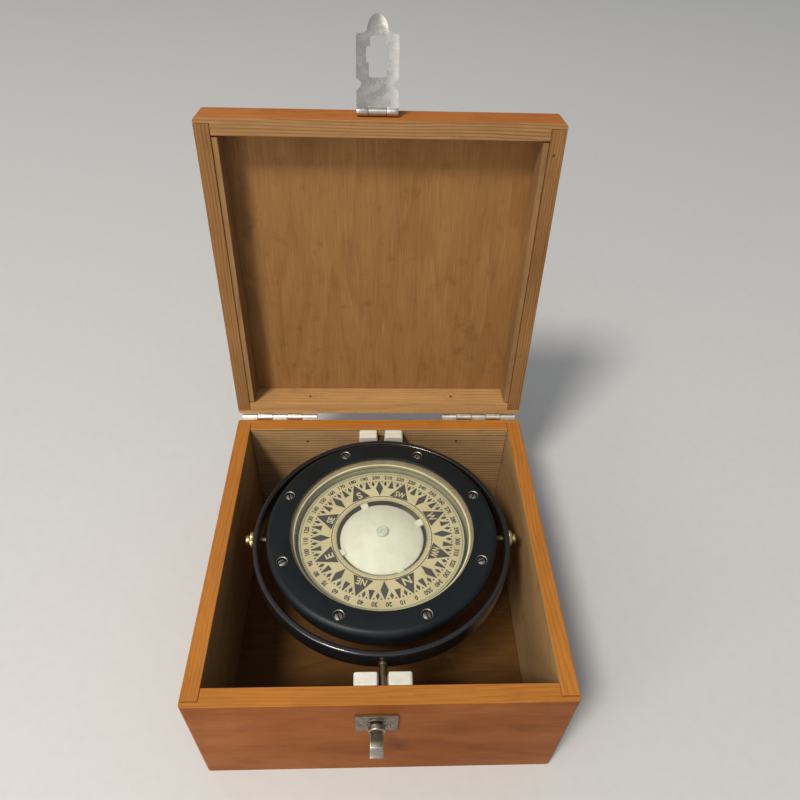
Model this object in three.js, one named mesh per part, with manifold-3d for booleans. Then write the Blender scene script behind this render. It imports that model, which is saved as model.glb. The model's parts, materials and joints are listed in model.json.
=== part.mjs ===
// A gimballed liquid boat compass in a hinged wooden box, millimetres, +Z up.
// Origin: centre of the box's underside. +X to the right, +Y to the back (the hinges).

import * as THREE from 'three';
import { mergeVertices } from 'three/addons/utils/BufferGeometryUtils.js';
import Module from 'manifold-3d';

const wasm = await Module();
wasm.setup();

const deg = THREE.MathUtils.degToRad;

// ---- facets round a circle ----------------------------------------------------------------
const LARGE_ROUND = 44;
const ROUND = 28;
const SMALL_ROUND = 12;
const TINY_ROUND = 8;

// ---- driving dimensions -------------------------------------------------------------------
const SEAT_GAP = 0.2; // between pieces that touch
const CASE_W = 200;
const CASE_D = 200;
const CASE_H = 88;
const CASE_SIDE_T = 9.2;
const CASE_END_T = 9.8;
const FLOOR_T = 4;
const LAP_T = 3; // of the end boards over the side boards' ends
const CORNER_R = 2;
const RIM_GAP = 0.3; // between the case's rim and the closed lid's

const LID_H = 20.3;
const LID_SIDE_T = 8.5;
const LID_END_T = 9.3;
const LID_PANEL_T = 3;
const BATTEN_T = 3.2;
const BATTEN_END_GAP = 0.6;
const BATTEN_PANEL_GAP = 2;
const LID_OPEN = 95; // degrees from shut, as it stands

const HINGE_L = 52.5;
const HINGE_X = 71;
const HINGE_OUT = 2.8; // hinge axis behind the back faces
const BARREL_R = 2.3;
const PIN_R = 1.1;
const BORE_R = 1.3;
const LEAF_T = 1.2;
const LEAF_H = 17;
const KNUCKLE_GAP = 0.3;
const WOOD_SCREW_R = 1.9;

const HASP_X = -2.5;
const HASP_W = 22.3;
const HASP_T = 1.2;
const HASP_OUT = 2.5; // hasp axis in front of the lid's front face
const HASP_UP = 7; // hasp axis above the lid's rim
const HASP_LEAF_H = 12;
const HASP_BARREL_R = 2.2;
const HASP_PIN_R = 0.9;
const HASP_BORE_R = 1.1;
const HASP_MIDDLE_W = 9.8;
const HASP_STAND = 99.5; // degrees that the strap stands away from its shut place
const BOSS_DROP = 27.15; // staple boss below the hasp axis when shut
const BOSS_R = 4.4;
const PLATE_W = 22;
const PLATE_H = 17.9;
const LEVER_W = 7.3;
const LEVER_T = 1.5;

const GIMBAL_X = 0.8;
const GIMBAL_Y = 2.6;
const GIMBAL_Z = 81.2;
const RING_OUTER_R = 77.6;
const RING_INNER_R = 74;
const RING_HALF_H = 6.5;
const RING_EDGE_R = 1.3;
const BLOCK_W = 30.3;
const BLOCK_D = 7.2;
const BLOCK_DROP = 10;
const BLOCK_TOP = CASE_H - 0.3;
const SLOT_HALF = 2.35;
const SLOT_MOUTH_HALF = 3.05;
const GIMBAL_PIN_R = 2;
const PIVOT_R = 1.9;

const BEZEL_TOP = 12.8; // heights from here on are above the gimbal axis
const BEZEL_T = 5.5;
const BEZEL_OUTER_R = 69.2;
const BEZEL_INNER_R = 55.1;
const BEZEL_EDGE_R = 3.5;
const LIP_T = 1.2;
const SEAT_R = 57.8;
const GLASS_T = 2;
const GASKET_T = 0.8;
const SEAT_RING_T = 2.3;
const WELL_R = 52.7; // inside of the bowl
const FLANGE_R = 66.5;
const FLANGE_BOTTOM = -4.5;
const BOWL_WALL_R = 57;
const BOWL_KNEE = -10; // where the wall starts to curve in
const BOWL_BOTTOM = -46;
const BOTTOM_R = 36.5;
const BOTTOM_T = 3;
const SCREW_CIRCLE_R = 62.2;
const SCREW_COUNT = 8;
const SCREW_HEAD_R = 2.8;
const SCREW_R = 1.5;

const CARD_R = 50.5;
const CARD_HOLE_R = 27.5;
const CARD_TOP = 3.4;
const CARD_T = 0.7;
const CARD_NORTH = -65.5; // heading of North, degrees from +X towards +Y
const DOME_R = 25.6;
const DOME_RIM = 0.8;
const DOME_TOP = 6.8;
const JEWEL_TOP = 9.1;

const HINGE_AXIS = new THREE.Vector3(0, CASE_D / 2 + HINGE_OUT, CASE_H);
const LID_BOTTOM = CASE_H + RIM_GAP;
const HASP_AXIS = new THREE.Vector3(HASP_X, -CASE_D / 2 - HASP_OUT, LID_BOTTOM + HASP_UP);
const BOSS_Z = HASP_AXIS.z - BOSS_DROP;
const FRONT_IN = -CASE_D / 2 + CASE_END_T;
const BACK_IN = CASE_D / 2 - CASE_END_T;

// ---- materials ----------------------------------------------------------------------------
function finish(color, roughness, metalness = 0) {
  return new THREE.MeshStandardMaterial({ color, roughness, metalness });
}

const varnishedWood = finish(0xa8622a, 0.42);
const plywood = finish(0x96693c, 0.6);
const nylon = finish(0xe8e8dc, 0.45);
const zinc = finish(0xb4b6b2, 0.35, 1);
const brass = finish(0xb09a5a, 0.35, 1);
const glossBlack = finish(0x0c0d0e, 0.22);
const mattBlack = finish(0x1e2123, 0.55);
const cardPaper = finish(0xd7c896, 0.6);
const floatWhite = finish(0xe4e8da, 0.4);
const rubber = finish(0x2a2823, 0.7);
const lead = finish(0x55575a, 0.6, 1);
const glassClear = new THREE.MeshStandardMaterial({
  color: 0xf2f6f2,
  roughness: 0.05,
  transparent: true,
  opacity: 0.25,
});

// ---- solid helpers ------------------------------------------------------------------------
function weld(geometry) {
  const bare = geometry.clone();
  bare.deleteAttribute('normal');
  bare.deleteAttribute('uv');
  const merged = mergeVertices(bare, 1e-4);
  const index = merged.index.array;
  const kept = [];
  for (let i = 0; i < index.length; i += 3) {
    const [a, b, c] = [index[i], index[i + 1], index[i + 2]];
    if (a !== b && b !== c && c !== a) kept.push(a, b, c);
  }
  merged.setIndex(kept);
  return merged;
}

function toManifold(geometry) {
  const welded = weld(geometry);
  const mesh = new wasm.Mesh({
    numProp: 3,
    vertProperties: new Float32Array(welded.attributes.position.array),
    triVerts: new Uint32Array(welded.index.array),
  });
  mesh.merge();
  return new wasm.Manifold(mesh);
}

function fromManifold(manifold) {
  const mesh = manifold.getMesh();
  const geometry = new THREE.BufferGeometry();
  geometry.setAttribute('position', new THREE.BufferAttribute(mesh.vertProperties, 3));
  geometry.setIndex(new THREE.BufferAttribute(mesh.triVerts, 1));
  geometry.computeVertexNormals();
  return geometry;
}

// Adds the first list of geometries together, then takes the second list away.
function shaped(added, removed = []) {
  let body = toManifold(added[0]);
  for (const geometry of added.slice(1)) body = body.add(toManifold(geometry));
  for (const geometry of removed) body = body.subtract(toManifold(geometry));
  return fromManifold(body);
}

// A box from its lowest and highest corners.
function block(low, high) {
  const size = high.map((value, i) => value - low[i]);
  const centre = high.map((value, i) => (value + low[i]) / 2);
  return new THREE.BoxGeometry(...size).translate(...centre);
}

// A closed ring or disc turned about +Z from [radius, height] points.
function turned(points, segments = ROUND) {
  const profile = points.map(([r, z]) => new THREE.Vector2(r, z));
  return weld(new THREE.LatheGeometry(profile, segments)).rotateX(Math.PI / 2);
}

// A ring of rectangular section; an inner radius of 0 gives a disc.
function washer(inner, outer, low, high, segments = ROUND) {
  const points = [[inner, low], [outer, low], [outer, high], [inner, high]];
  if (inner > 0) points.push([inner, low]);
  return turned(points, segments);
}

const ALONG = {
  x: (geometry) => geometry.rotateY(Math.PI / 2),
  y: (geometry) => geometry.rotateX(-Math.PI / 2),
  z: (geometry) => geometry,
};

// A round rod of radius r along an axis, from one place on it to another.
function rod(axis, r, from, to, segments = SMALL_ROUND) {
  return ALONG[axis](washer(0, r, from, to, segments));
}

// An outline of [x, y] points extruded up from z = low to z = high.
function slab(points, low, high) {
  const shape = new THREE.Shape(points.map(([x, y]) => new THREE.Vector2(x, y)));
  const options = { depth: high - low, bevelEnabled: false, curveSegments: 6 };
  return new THREE.ExtrudeGeometry(shape, options).translate(0, 0, low);
}

// An arc's points about [cx, cy], in degrees.
function arc(cx, cy, r, from, to, steps = 4) {
  const points = [];
  for (let i = 0; i <= steps; i++) {
    const angle = deg(from + ((to - from) * i) / steps);
    points.push([cx + r * Math.cos(angle), cy + r * Math.sin(angle)]);
  }
  return points;
}

function place(group, name, geometry, material) {
  const mesh = new THREE.Mesh(geometry, material);
  mesh.name = name;
  group.add(mesh);
}

// ---- box boards ---------------------------------------------------------------------------
// The end board runs the full width and is rebated for the side boards. side is -1 at the
// front and 1 at the back.
function endBoard(side, endT, sideT, low, high) {
  const w = CASE_W / 2;
  const d = CASE_D / 2;
  const tongue = w - sideT - SEAT_GAP;
  const outline = [
    ...arc(-w + CORNER_R, -d + CORNER_R, CORNER_R, 180, 270, 3),
    ...arc(w - CORNER_R, -d + CORNER_R, CORNER_R, 270, 360, 3),
    [w, -d + LAP_T],
    [tongue, -d + LAP_T],
    [tongue, -d + endT],
    [-tongue, -d + endT],
    [-tongue, -d + LAP_T],
    [-w, -d + LAP_T],
  ];
  const board = slab(outline, low, high);
  return side < 0 ? board : board.rotateZ(Math.PI);
}

function sideBoard(side, sideT, low, high) {
  const w = CASE_W / 2;
  const reach = CASE_D / 2 - LAP_T - SEAT_GAP;
  const [from, to] = side < 0 ? [-w, -w + sideT] : [w - sideT, w];
  return block([from, -reach, low], [to, reach, high]);
}

function addCase(root) {
  place(root, 'case_front_board', endBoard(-1, CASE_END_T, CASE_SIDE_T, 0, CASE_H), varnishedWood);
  place(root, 'case_back_board', endBoard(1, CASE_END_T, CASE_SIDE_T, 0, CASE_H), varnishedWood);
  place(root, 'case_left_board', sideBoard(-1, CASE_SIDE_T, 0, CASE_H), varnishedWood);
  place(root, 'case_right_board', sideBoard(1, CASE_SIDE_T, 0, CASE_H), varnishedWood);
  const x = CASE_W / 2 - CASE_SIDE_T - SEAT_GAP;
  const y = CASE_D / 2 - CASE_END_T - SEAT_GAP;
  place(root, 'case_floor', block([-x, -y, 0], [x, y, FLOOR_T]), plywood);
}

function addLidWood(lid) {
  const low = LID_BOTTOM;
  const high = LID_BOTTOM + LID_H;
  place(lid, 'lid_front_board', endBoard(-1, LID_END_T, LID_SIDE_T, low, high), varnishedWood);
  place(lid, 'lid_back_board', endBoard(1, LID_END_T, LID_SIDE_T, low, high), varnishedWood);
  place(lid, 'lid_left_board', sideBoard(-1, LID_SIDE_T, low, high), varnishedWood);
  place(lid, 'lid_right_board', sideBoard(1, LID_SIDE_T, low, high), varnishedWood);
  const x = CASE_W / 2 - LID_SIDE_T - RIM_GAP;
  const y = CASE_D / 2 - LID_END_T - RIM_GAP;
  place(lid, 'lid_panel', block([-x, -y, high - LID_PANEL_T], [x, y, high]), plywood);
  const battenTop = high - LID_PANEL_T - BATTEN_PANEL_GAP;
  const battenY = y - BATTEN_END_GAP;
  for (const [name, side] of [['left', -1], ['right', 1]]) {
    const [from, to] = side < 0 ? [-x, -x + BATTEN_T] : [x - BATTEN_T, x];
    const batten = block([from, -battenY, low + SEAT_GAP], [to, battenY, battenTop]);
    place(lid, `lid_batten_${name}`, batten, plywood);
  }
}

// ---- butt hinges --------------------------------------------------------------------------
// One leaf with its knuckles, seen with the axis along X at the origin. up is 1 for the
// lid's leaf and -1 for the case's. The case's leaf has knuckles 0, 2 and 4 of the five.
function hingeLeaf(up) {
  const pitch = HINGE_L / 5;
  const own = up > 0 ? [1, 3] : [0, 2, 4];
  const inner = -HINGE_OUT + SEAT_GAP;
  const clear = BARREL_R + 0.4;
  const span = (a, b) => (up > 0 ? [a, b] : [-b, -a]);
  const [plateLow, plateHigh] = span(clear, LEAF_H);
  const added = [block([-HINGE_L / 2, inner, plateLow], [HINGE_L / 2, inner + LEAF_T, plateHigh])];
  const removed = [];
  for (const k of own) {
    const from = -HINGE_L / 2 + k * pitch + (k > 0 ? KNUCKLE_GAP / 2 : 0);
    const to = -HINGE_L / 2 + (k + 1) * pitch - (k < 4 ? KNUCKLE_GAP / 2 : 0);
    const [tabLow, tabHigh] = span(0, clear + 1);
    added.push(block([from, inner, tabLow], [to, inner + LEAF_T, tabHigh]));
    added.push(rod('x', BARREL_R, from, to));
  }
  removed.push(rod('x', BORE_R, -HINGE_L, HINGE_L, TINY_ROUND));
  for (const [x, z] of [[-18, 8], [0, 12], [18, 8]]) {
    const hole = rod('y', WOOD_SCREW_R, -HINGE_OUT - 1, HINGE_OUT, TINY_ROUND);
    removed.push(hole.translate(x, 0, up * z));
  }
  return shaped(added, removed);
}

function addHinges(root, lid) {
  for (const [name, side] of [['left', -1], ['right', 1]]) {
    const x = side * HINGE_X;
    const { y, z } = HINGE_AXIS;
    place(root, `hinge_case_leaf_${name}`, hingeLeaf(-1).translate(x, y, z), zinc);
    place(lid, `hinge_lid_leaf_${name}`, hingeLeaf(1).translate(x, y, z), zinc);
    const pin = rod('x', PIN_R, -HINGE_L / 2, HINGE_L / 2, TINY_ROUND).translate(x, y, z);
    place(root, `hinge_pin_${name}`, pin, zinc);
  }
}

// ---- hasp ---------------------------------------------------------------------------------
function haspLeaf() {
  const half = HASP_W / 2;
  const middle = HASP_MIDDLE_W / 2 - KNUCKLE_GAP / 2;
  const back = HASP_OUT - SEAT_GAP;
  const clear = HASP_BARREL_R + 0.4;
  const plate = block([-half, back - LEAF_T, clear], [half, back, HASP_LEAF_H]);
  const tab = block([-middle, back - LEAF_T, 0], [middle, back, clear + 1]);
  const barrel = rod('x', HASP_BARREL_R, -middle, middle);
  const holes = [rod('x', HASP_BORE_R, -half - 1, half + 1, TINY_ROUND)];
  for (const x of [-6.5, 6.5]) {
    holes.push(rod('y', WOOD_SCREW_R, -HASP_OUT, HASP_OUT + 1, TINY_ROUND).translate(x, 0, 7.4));
  }
  return shaped([plate, tab, barrel], holes);
}

// The strap's outline, [x, distance from the hasp axis], right half from knuckle to tip.
function strapHalfOutline() {
  const half = HASP_W / 2;
  const neck = [[half, 9.9], [half - 2.4, 12.6], [half - 2.5, 14.4], [half, 16.2]];
  const shoulder = [[half, 35.4], [half - 0.9, 36.3], [6.6, 37.2], [5.5, 38.2]];
  const tongue = [[5.2, 40.2], [4.4, 42.4], [3.1, 44.3], [1.6, 45.4], [0, 45.7]];
  return [[half, 0], ...neck, ...shoulder, ...tongue];
}

// Lies in its shut place: hanging down from the hasp axis at the origin.
function haspStrap() {
  const half = strapHalfOutline();
  const mirrored = half.slice(0, -1).reverse();
  const outline = [...half, ...mirrored.map(([x, s]) => [-x, s])].map(([x, s]) => [x, -s]);
  const plate = slab(outline.reverse(), -HASP_T / 2, HASP_T / 2).rotateX(Math.PI / 2);
  const middle = HASP_MIDDLE_W / 2 + KNUCKLE_GAP / 2;
  const edge = HASP_W / 2;
  const clear = HASP_BARREL_R + 0.5;
  const barrels = [[-edge, -middle], [middle, edge]];
  const added = [plate, ...barrels.map(([a, b]) => rod('x', HASP_BARREL_R, a, b))];
  const window = (halfW, from, to) => block([-halfW, -5, -to], [halfW, 5, -from]);
  const removed = [
    rod('x', HASP_BORE_R, -edge - 1, edge + 1, TINY_ROUND),
    block([-middle, -5, -clear], [middle, 5, 5]),
    window(4.6, 16.5, 24),
    window(6, 23.2, 31.1),
    window(3.9, 30, 35.6),
  ];
  return shaped(added, removed);
}

function staplePlate() {
  const y = -CASE_D / 2 - SEAT_GAP;
  const low = [HASP_X - PLATE_W / 2, y - LEAF_T, BOSS_Z - PLATE_H / 2];
  const high = [HASP_X + PLATE_W / 2, y, BOSS_Z + PLATE_H / 2];
  const hole = rod('y', 2, y - 5, y + 5).translate(HASP_X, 0, BOSS_Z);
  const screwHoles = [[-7.3, 0.6], [7.3, -2.8]].map(([x, z]) =>
    rod('y', 1.6, y - 5, y + 5, TINY_ROUND).translate(HASP_X + x, 0, BOSS_Z + z));
  return shaped([block(low, high)], [hole, ...screwHoles]);
}

const RIBBON_STEPS = 9;

// A strip of even thickness along a path of [out, up] points.
function ribbonOutline(path, thickness) {
  const curve = new THREE.SplineCurve(path.map(([a, b]) => new THREE.Vector2(a, b)));
  const upper = [];
  const lower = [];
  for (let i = 0; i <= RIBBON_STEPS; i++) {
    const point = curve.getPoint(i / RIBBON_STEPS);
    const tangent = curve.getTangent(i / RIBBON_STEPS);
    const side = new THREE.Vector2(-tangent.y, tangent.x).multiplyScalar(thickness / 2);
    upper.push([point.x + side.x, point.y + side.y]);
    lower.push([point.x - side.x, point.y - side.y]);
  }
  return [...lower, ...upper.reverse()];
}

// The turn button about its own axis at the origin: +Y points into the case.
function turnButton() {
  const path = [[4.2, -3.8], [8.8, -3.7], [11, -4.4], [12.2, -5.7], [13, -7.3], [14.7, -8.6]];
  const outline = ribbonOutline(path, LEVER_T);
  const lever = slab(outline, -LEVER_W / 2, LEVER_W / 2);
  lever.rotateX(Math.PI / 2).rotateZ(-Math.PI / 2);
  const shank = rod('y', 1.7, -1.9, -0.1);
  const neck = rod('y', 3.2, -2.7, -1.6);
  const boss = rod('y', BOSS_R, -5.4, -2.4);
  return shaped([shank, neck, boss, lever]);
}

function addHasp(root, lid, lidTurn) {
  const { x, y, z } = HASP_AXIS;
  place(lid, 'hasp_leaf', haspLeaf().translate(x, y, z), zinc);
  const pin = rod('x', HASP_PIN_R, -HASP_W / 2, HASP_W / 2, TINY_ROUND).translate(x, y, z);
  place(lid, 'hasp_pin', pin, zinc);
  const strapTurn = new THREE.Group();
  strapTurn.position.copy(HASP_AXIS);
  strapTurn.rotation.x = deg(-HASP_STAND);
  lid.add(strapTurn);
  place(strapTurn, 'hasp_strap', haspStrap(), zinc);
  place(root, 'staple_plate', staplePlate(), zinc);
  const button = turnButton().translate(HASP_X, -CASE_D / 2 - SEAT_GAP, BOSS_Z);
  place(root, 'turn_button', button, zinc);
}

// ---- gimbal -------------------------------------------------------------------------------
// A nylon block with an open-topped slot for a gimbal pin, drawn about the gimbal axis.
function pivotBlock() {
  const half = BLOCK_W / 2;
  const top = BLOCK_TOP - GIMBAL_Z;
  const r = 1.5;
  const outline = [
    [-half, -BLOCK_DROP],
    [half, -BLOCK_DROP],
    ...arc(half - r, top - r, r, 0, 90, 3),
    [SLOT_MOUTH_HALF, top],
    [SLOT_HALF, 2.2],
    ...arc(0, 0, SLOT_HALF, 0, -180, 8),
    [-SLOT_HALF, 2.2],
    [-SLOT_MOUTH_HALF, top],
    ...arc(-half + r, top - r, r, 90, 180, 3),
  ];
  return slab(outline, -BLOCK_D / 2, BLOCK_D / 2).rotateX(Math.PI / 2);
}

function addPivotBlocks(root) {
  const centre = BLOCK_D / 2 + SEAT_GAP;
  const front = pivotBlock().translate(GIMBAL_X, FRONT_IN + centre, GIMBAL_Z);
  const back = pivotBlock().translate(GIMBAL_X, BACK_IN - centre, GIMBAL_Z);
  place(root, 'pivot_block_front', front, nylon);
  place(root, 'pivot_block_back', back, nylon);
}

function gimbalRing() {
  const h = RING_HALF_H - RING_EDGE_R;
  const outer = RING_OUTER_R - RING_EDGE_R;
  const inner = RING_INNER_R + RING_EDGE_R;
  const profile = [
    ...arc(outer, -h, RING_EDGE_R, -90, 0, 1),
    ...arc(outer, h, RING_EDGE_R, 0, 90, 1),
    ...arc(inner, h, RING_EDGE_R, 90, 180, 1),
    ...arc(inner, -h, RING_EDGE_R, 180, 270, 1),
  ];
  profile.push(profile[0]);
  const holes = [
    rod('x', PIVOT_R + SEAT_GAP, -90, 90, TINY_ROUND),
    rod('y', GIMBAL_PIN_R - SEAT_GAP, -90, 90, TINY_ROUND),
  ];
  return shaped([turned(profile, LARGE_ROUND)], holes);
}

// Made along -Y from the ring's wall; reach is where the plain end stops.
function gimbalPin(reach) {
  const stud = rod('y', GIMBAL_PIN_R - 2 * SEAT_GAP, -RING_OUTER_R - 1, -RING_INNER_R + 0.4);
  const collar = rod('y', 2.6, -RING_OUTER_R - 2.2, -RING_OUTER_R - SEAT_GAP);
  const plain = rod('y', GIMBAL_PIN_R, -reach, -RING_OUTER_R - 1);
  return shaped([stud, collar, plain]);
}

// Made along +X: a cone point inside, a slotted end outside.
function pivotScrew() {
  const tip = FLANGE_R - 0.4;
  const end = RING_OUTER_R + 5.2;
  const profile = [
    [0, tip], [PIVOT_R, tip + 2], [PIVOT_R, RING_OUTER_R + 2.5],
    [2.8, RING_OUTER_R + 2.9], [2.8, end - 0.4], [2.4, end], [0, end],
  ];
  const screw = ALONG.x(turned(profile, SMALL_ROUND));
  const slot = block([end - 1, -4, -0.4], [end + 1, 4, 0.4]);
  return shaped([screw], [slot]);
}

function lockNut() {
  const nut = washer(0, 4.9, RING_OUTER_R + SEAT_GAP, RING_OUTER_R + 2.3, 6);
  const bore = rod('x', PIVOT_R + SEAT_GAP, RING_OUTER_R - 1, RING_OUTER_R + 5);
  return shaped([ALONG.x(nut)], [bore]);
}

function addGimbalRing(gimbal) {
  place(gimbal, 'gimbal_ring', gimbalRing(), glossBlack);
  const frontReach = GIMBAL_Y - FRONT_IN - 0.7;
  const backReach = BACK_IN - GIMBAL_Y - 0.7;
  place(gimbal, 'gimbal_pin_front', gimbalPin(frontReach), brass);
  place(gimbal, 'gimbal_pin_back', gimbalPin(backReach).rotateZ(Math.PI), brass);
  place(gimbal, 'pivot_screw_right', pivotScrew(), brass);
  place(gimbal, 'pivot_screw_left', pivotScrew().rotateZ(Math.PI), brass);
  place(gimbal, 'pivot_nut_right', lockNut(), brass);
  place(gimbal, 'pivot_nut_left', lockNut().rotateZ(Math.PI), brass);
}

// ---- bowl ---------------------------------------------------------------------------------
const BEZEL_LOW = BEZEL_TOP - BEZEL_T;
const GLASS_TOP = BEZEL_TOP - LIP_T - SEAT_GAP;
const GLASS_LOW = GLASS_TOP - GLASS_T;
const GASKET_LOW = GLASS_LOW - SEAT_GAP - GASKET_T;
const SEAT_RING_TOP = GASKET_LOW - SEAT_GAP;
const SEAT_RING_LOW = SEAT_RING_TOP - SEAT_RING_T;
const BOWL_TOP = BEZEL_LOW - SEAT_GAP;
const SCREW_TIP = 2;
const CUP_FLOOR = BEZEL_TOP - 2;
const FILLER_Z = -17;
const FILLER_ANGLE = -132;

function aroundScrews(make) {
  const pieces = [];
  for (let i = 0; i < SCREW_COUNT; i++) {
    const angle = deg((360 / SCREW_COUNT) * (i + 0.5));
    const [x, y] = [SCREW_CIRCLE_R * Math.cos(angle), SCREW_CIRCLE_R * Math.sin(angle)];
    pieces.push(make(i).rotateZ(angle * 3).translate(x, y, 0));
  }
  return pieces;
}

function bezelRing() {
  const edge = arc(BEZEL_OUTER_R - BEZEL_EDGE_R, BEZEL_TOP - BEZEL_EDGE_R, BEZEL_EDGE_R, 0, 90, 3);
  const profile = [
    [SEAT_R, BEZEL_LOW],
    [BEZEL_OUTER_R, BEZEL_LOW],
    ...edge,
    [BEZEL_INNER_R, BEZEL_TOP],
    [BEZEL_INNER_R, BEZEL_TOP - LIP_T],
    [SEAT_R, BEZEL_TOP - LIP_T],
    [SEAT_R, BEZEL_LOW],
  ];
  const holes = aroundScrews(() => washer(0, SCREW_R + SEAT_GAP, 0, BEZEL_TOP + 1, 8));
  const cups = aroundScrews(() => washer(0, SCREW_HEAD_R + 0.4, CUP_FLOOR, BEZEL_TOP + 1, TINY_ROUND));
  return shaped([turned(profile, LARGE_ROUND)], [...holes, ...cups]);
}

function bezelScrew() {
  const top = BEZEL_TOP - 0.3;
  const under = CUP_FLOOR + SEAT_GAP;
  const profile = [
    [0, SCREW_TIP], [SCREW_R, SCREW_TIP], [SCREW_R, under], [SCREW_HEAD_R, under],
    [SCREW_HEAD_R, top - 0.5], [SCREW_HEAD_R - 0.6, top], [0, top],
  ];
  const slot = block([-4, -0.4, top - 0.7], [4, 0.4, top + 1]);
  return shaped([turned(profile, TINY_ROUND)], [slot]);
}

function bowlShell() {
  const outerCurve = [];
  const innerCurve = [];
  const innerBottomR = BOTTOM_R - BOTTOM_T;
  for (let i = 0; i <= 4; i++) {
    const t = (Math.PI / 2) * (i / 4);
    const out = Math.sin(t);
    const drop = (low) => BOWL_KNEE + (low - BOWL_KNEE) * Math.cos(t);
    outerCurve.push([BOTTOM_R + (BOWL_WALL_R - BOTTOM_R) * out, drop(BOWL_BOTTOM)]);
    innerCurve.push([innerBottomR + (WELL_R - innerBottomR) * out, drop(BOWL_BOTTOM + BOTTOM_T)]);
  }
  const profile = [
    [0, BOWL_BOTTOM],
    ...outerCurve,
    [FLANGE_R, FLANGE_BOTTOM],
    [FLANGE_R, BOWL_TOP],
    [SEAT_R, BOWL_TOP],
    [SEAT_R, SEAT_RING_LOW - SEAT_GAP],
    [WELL_R, SEAT_RING_LOW - SEAT_GAP],
    ...innerCurve.reverse(),
    [0, BOWL_BOTTOM + BOTTOM_T],
  ];
  const bosses = [-1, 1].map((side) => {
    const ends = [side * (WELL_R + 2), side * (FLANGE_R + 2.4)].sort((a, b) => a - b);
    return rod('x', 5.6, ends[0], ends[1]);
  });
  const screwHoles = aroundScrews(() =>
    washer(0, SCREW_R + SEAT_GAP, SCREW_TIP - 0.5, BEZEL_TOP, 8));
  const sockets = [-1, 1].map((side) => {
    const ends = [side * (FLANGE_R - 1), side * (FLANGE_R + 4)].sort((a, b) => a - b);
    return rod('x', PIVOT_R + 0.3, ends[0], ends[1], TINY_ROUND);
  });
  const passages = [];
  for (let i = 0; i < 6; i++) {
    const angle = deg(60 * i);
    const hole = washer(0, 2, BOWL_BOTTOM - 2, BOWL_BOTTOM + BOTTOM_T + 2, 8);
    passages.push(hole.translate(18 * Math.cos(angle), 18 * Math.sin(angle), 0));
  }
  const fillHole = rod('x', 3.4, WELL_R - 8, BOWL_WALL_R + 8);
  fillHole.translate(0, 0, FILLER_Z).rotateZ(deg(FILLER_ANGLE));
  const removed = [...screwHoles, ...sockets, ...passages, fillHole];
  return shaped([turned(profile), ...bosses], removed);
}

function fillerPlug() {
  const profile = [
    [0, WELL_R - 1], [3.2, WELL_R - 1], [3.2, BOWL_WALL_R + 0.6],
    [5, BOWL_WALL_R + 0.6], [5, BOWL_WALL_R + 2.6], [4.4, BOWL_WALL_R + 3], [0, BOWL_WALL_R + 3],
  ];
  const plug = ALONG.x(turned(profile, SMALL_ROUND));
  const slot = block([BOWL_WALL_R + 2, -6, -0.5], [BOWL_WALL_R + 5, 6, 0.5]);
  return shaped([plug], [slot]).translate(0, 0, FILLER_Z).rotateZ(deg(FILLER_ANGLE));
}

function pivotPost() {
  const foot = BOWL_BOTTOM + BOTTOM_T + SEAT_GAP;
  const tip = DOME_TOP - 0.7;
  return turned([
    [0, foot], [7, foot], [7, foot + 2], [3.6, foot + 4], [2.5, foot + 10],
    [2.5, -6], [1.2, -3], [1.2, tip - 3.4], [0.5, tip - 1.3], [0, tip],
  ], TINY_ROUND);
}

function diaphragm() {
  const rimTop = BOWL_BOTTOM - SEAT_GAP;
  const t = 0.6;
  const ripple = [[27, 0], [20, -1.4], [12, -0.6], [0, -1.4]];
  const upper = ripple.map(([r, z]) => [r, rimTop - t + z + 0.3]);
  const lower = ripple.map(([r, z]) => [r, rimTop - 2 * t + z + 0.3]).reverse();
  return turned([...lower, [31, rimTop - t], [31, rimTop], [27.5, rimTop], ...upper], ROUND);
}

function bottomCover() {
  const top = BOWL_BOTTOM - SEAT_GAP;
  const low = top - 12;
  const t = 1.6;
  return turned([
    [3, low],
    ...arc(28, low + 6.5, 6.5, -90, 0, 3),
    [34.5, top],
    [34.5 - t, top],
    ...arc(28, low + 6.5, 6.5 - t, 0, -90, 3),
    [3, low + t],
    [3, low],
  ], ROUND);
}

function addBowl(bowl) {
  place(bowl, 'bowl', bowlShell(), mattBlack);
  place(bowl, 'bezel_ring', bezelRing(), mattBlack);
  aroundScrews(bezelScrew).forEach((screw, i) => {
    place(bowl, `bezel_screw_${i + 1}`, screw, zinc);
  });
  const rim = SEAT_R - 0.3;
  place(bowl, 'glass', washer(0, rim, GLASS_LOW, GLASS_TOP), glassClear);
  place(bowl, 'glass_gasket', washer(WELL_R + 0.9, rim, GASKET_LOW, GASKET_LOW + GASKET_T), rubber);
  place(bowl, 'glass_seat_ring', washer(WELL_R, rim, SEAT_RING_LOW, SEAT_RING_TOP), brass);
  const lubber = block([-WELL_R + SEAT_GAP, -0.4, 1], [-CARD_R - 0.6, 0.4, SEAT_RING_LOW - 0.4]);
  place(bowl, 'lubber_mark', lubber, rubber);
  place(bowl, 'pivot_post', pivotPost(), brass);
  place(bowl, 'filler_plug', fillerPlug(), brass);
  place(bowl, 'diaphragm', diaphragm(), brass);
  place(bowl, 'bottom_cover', bottomCover(), mattBlack);
  const ballastTop = BOWL_BOTTOM - 4;
  place(bowl, 'ballast_weight', washer(8, 27, ballastTop - 5.6, ballastTop), lead);
}

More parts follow.
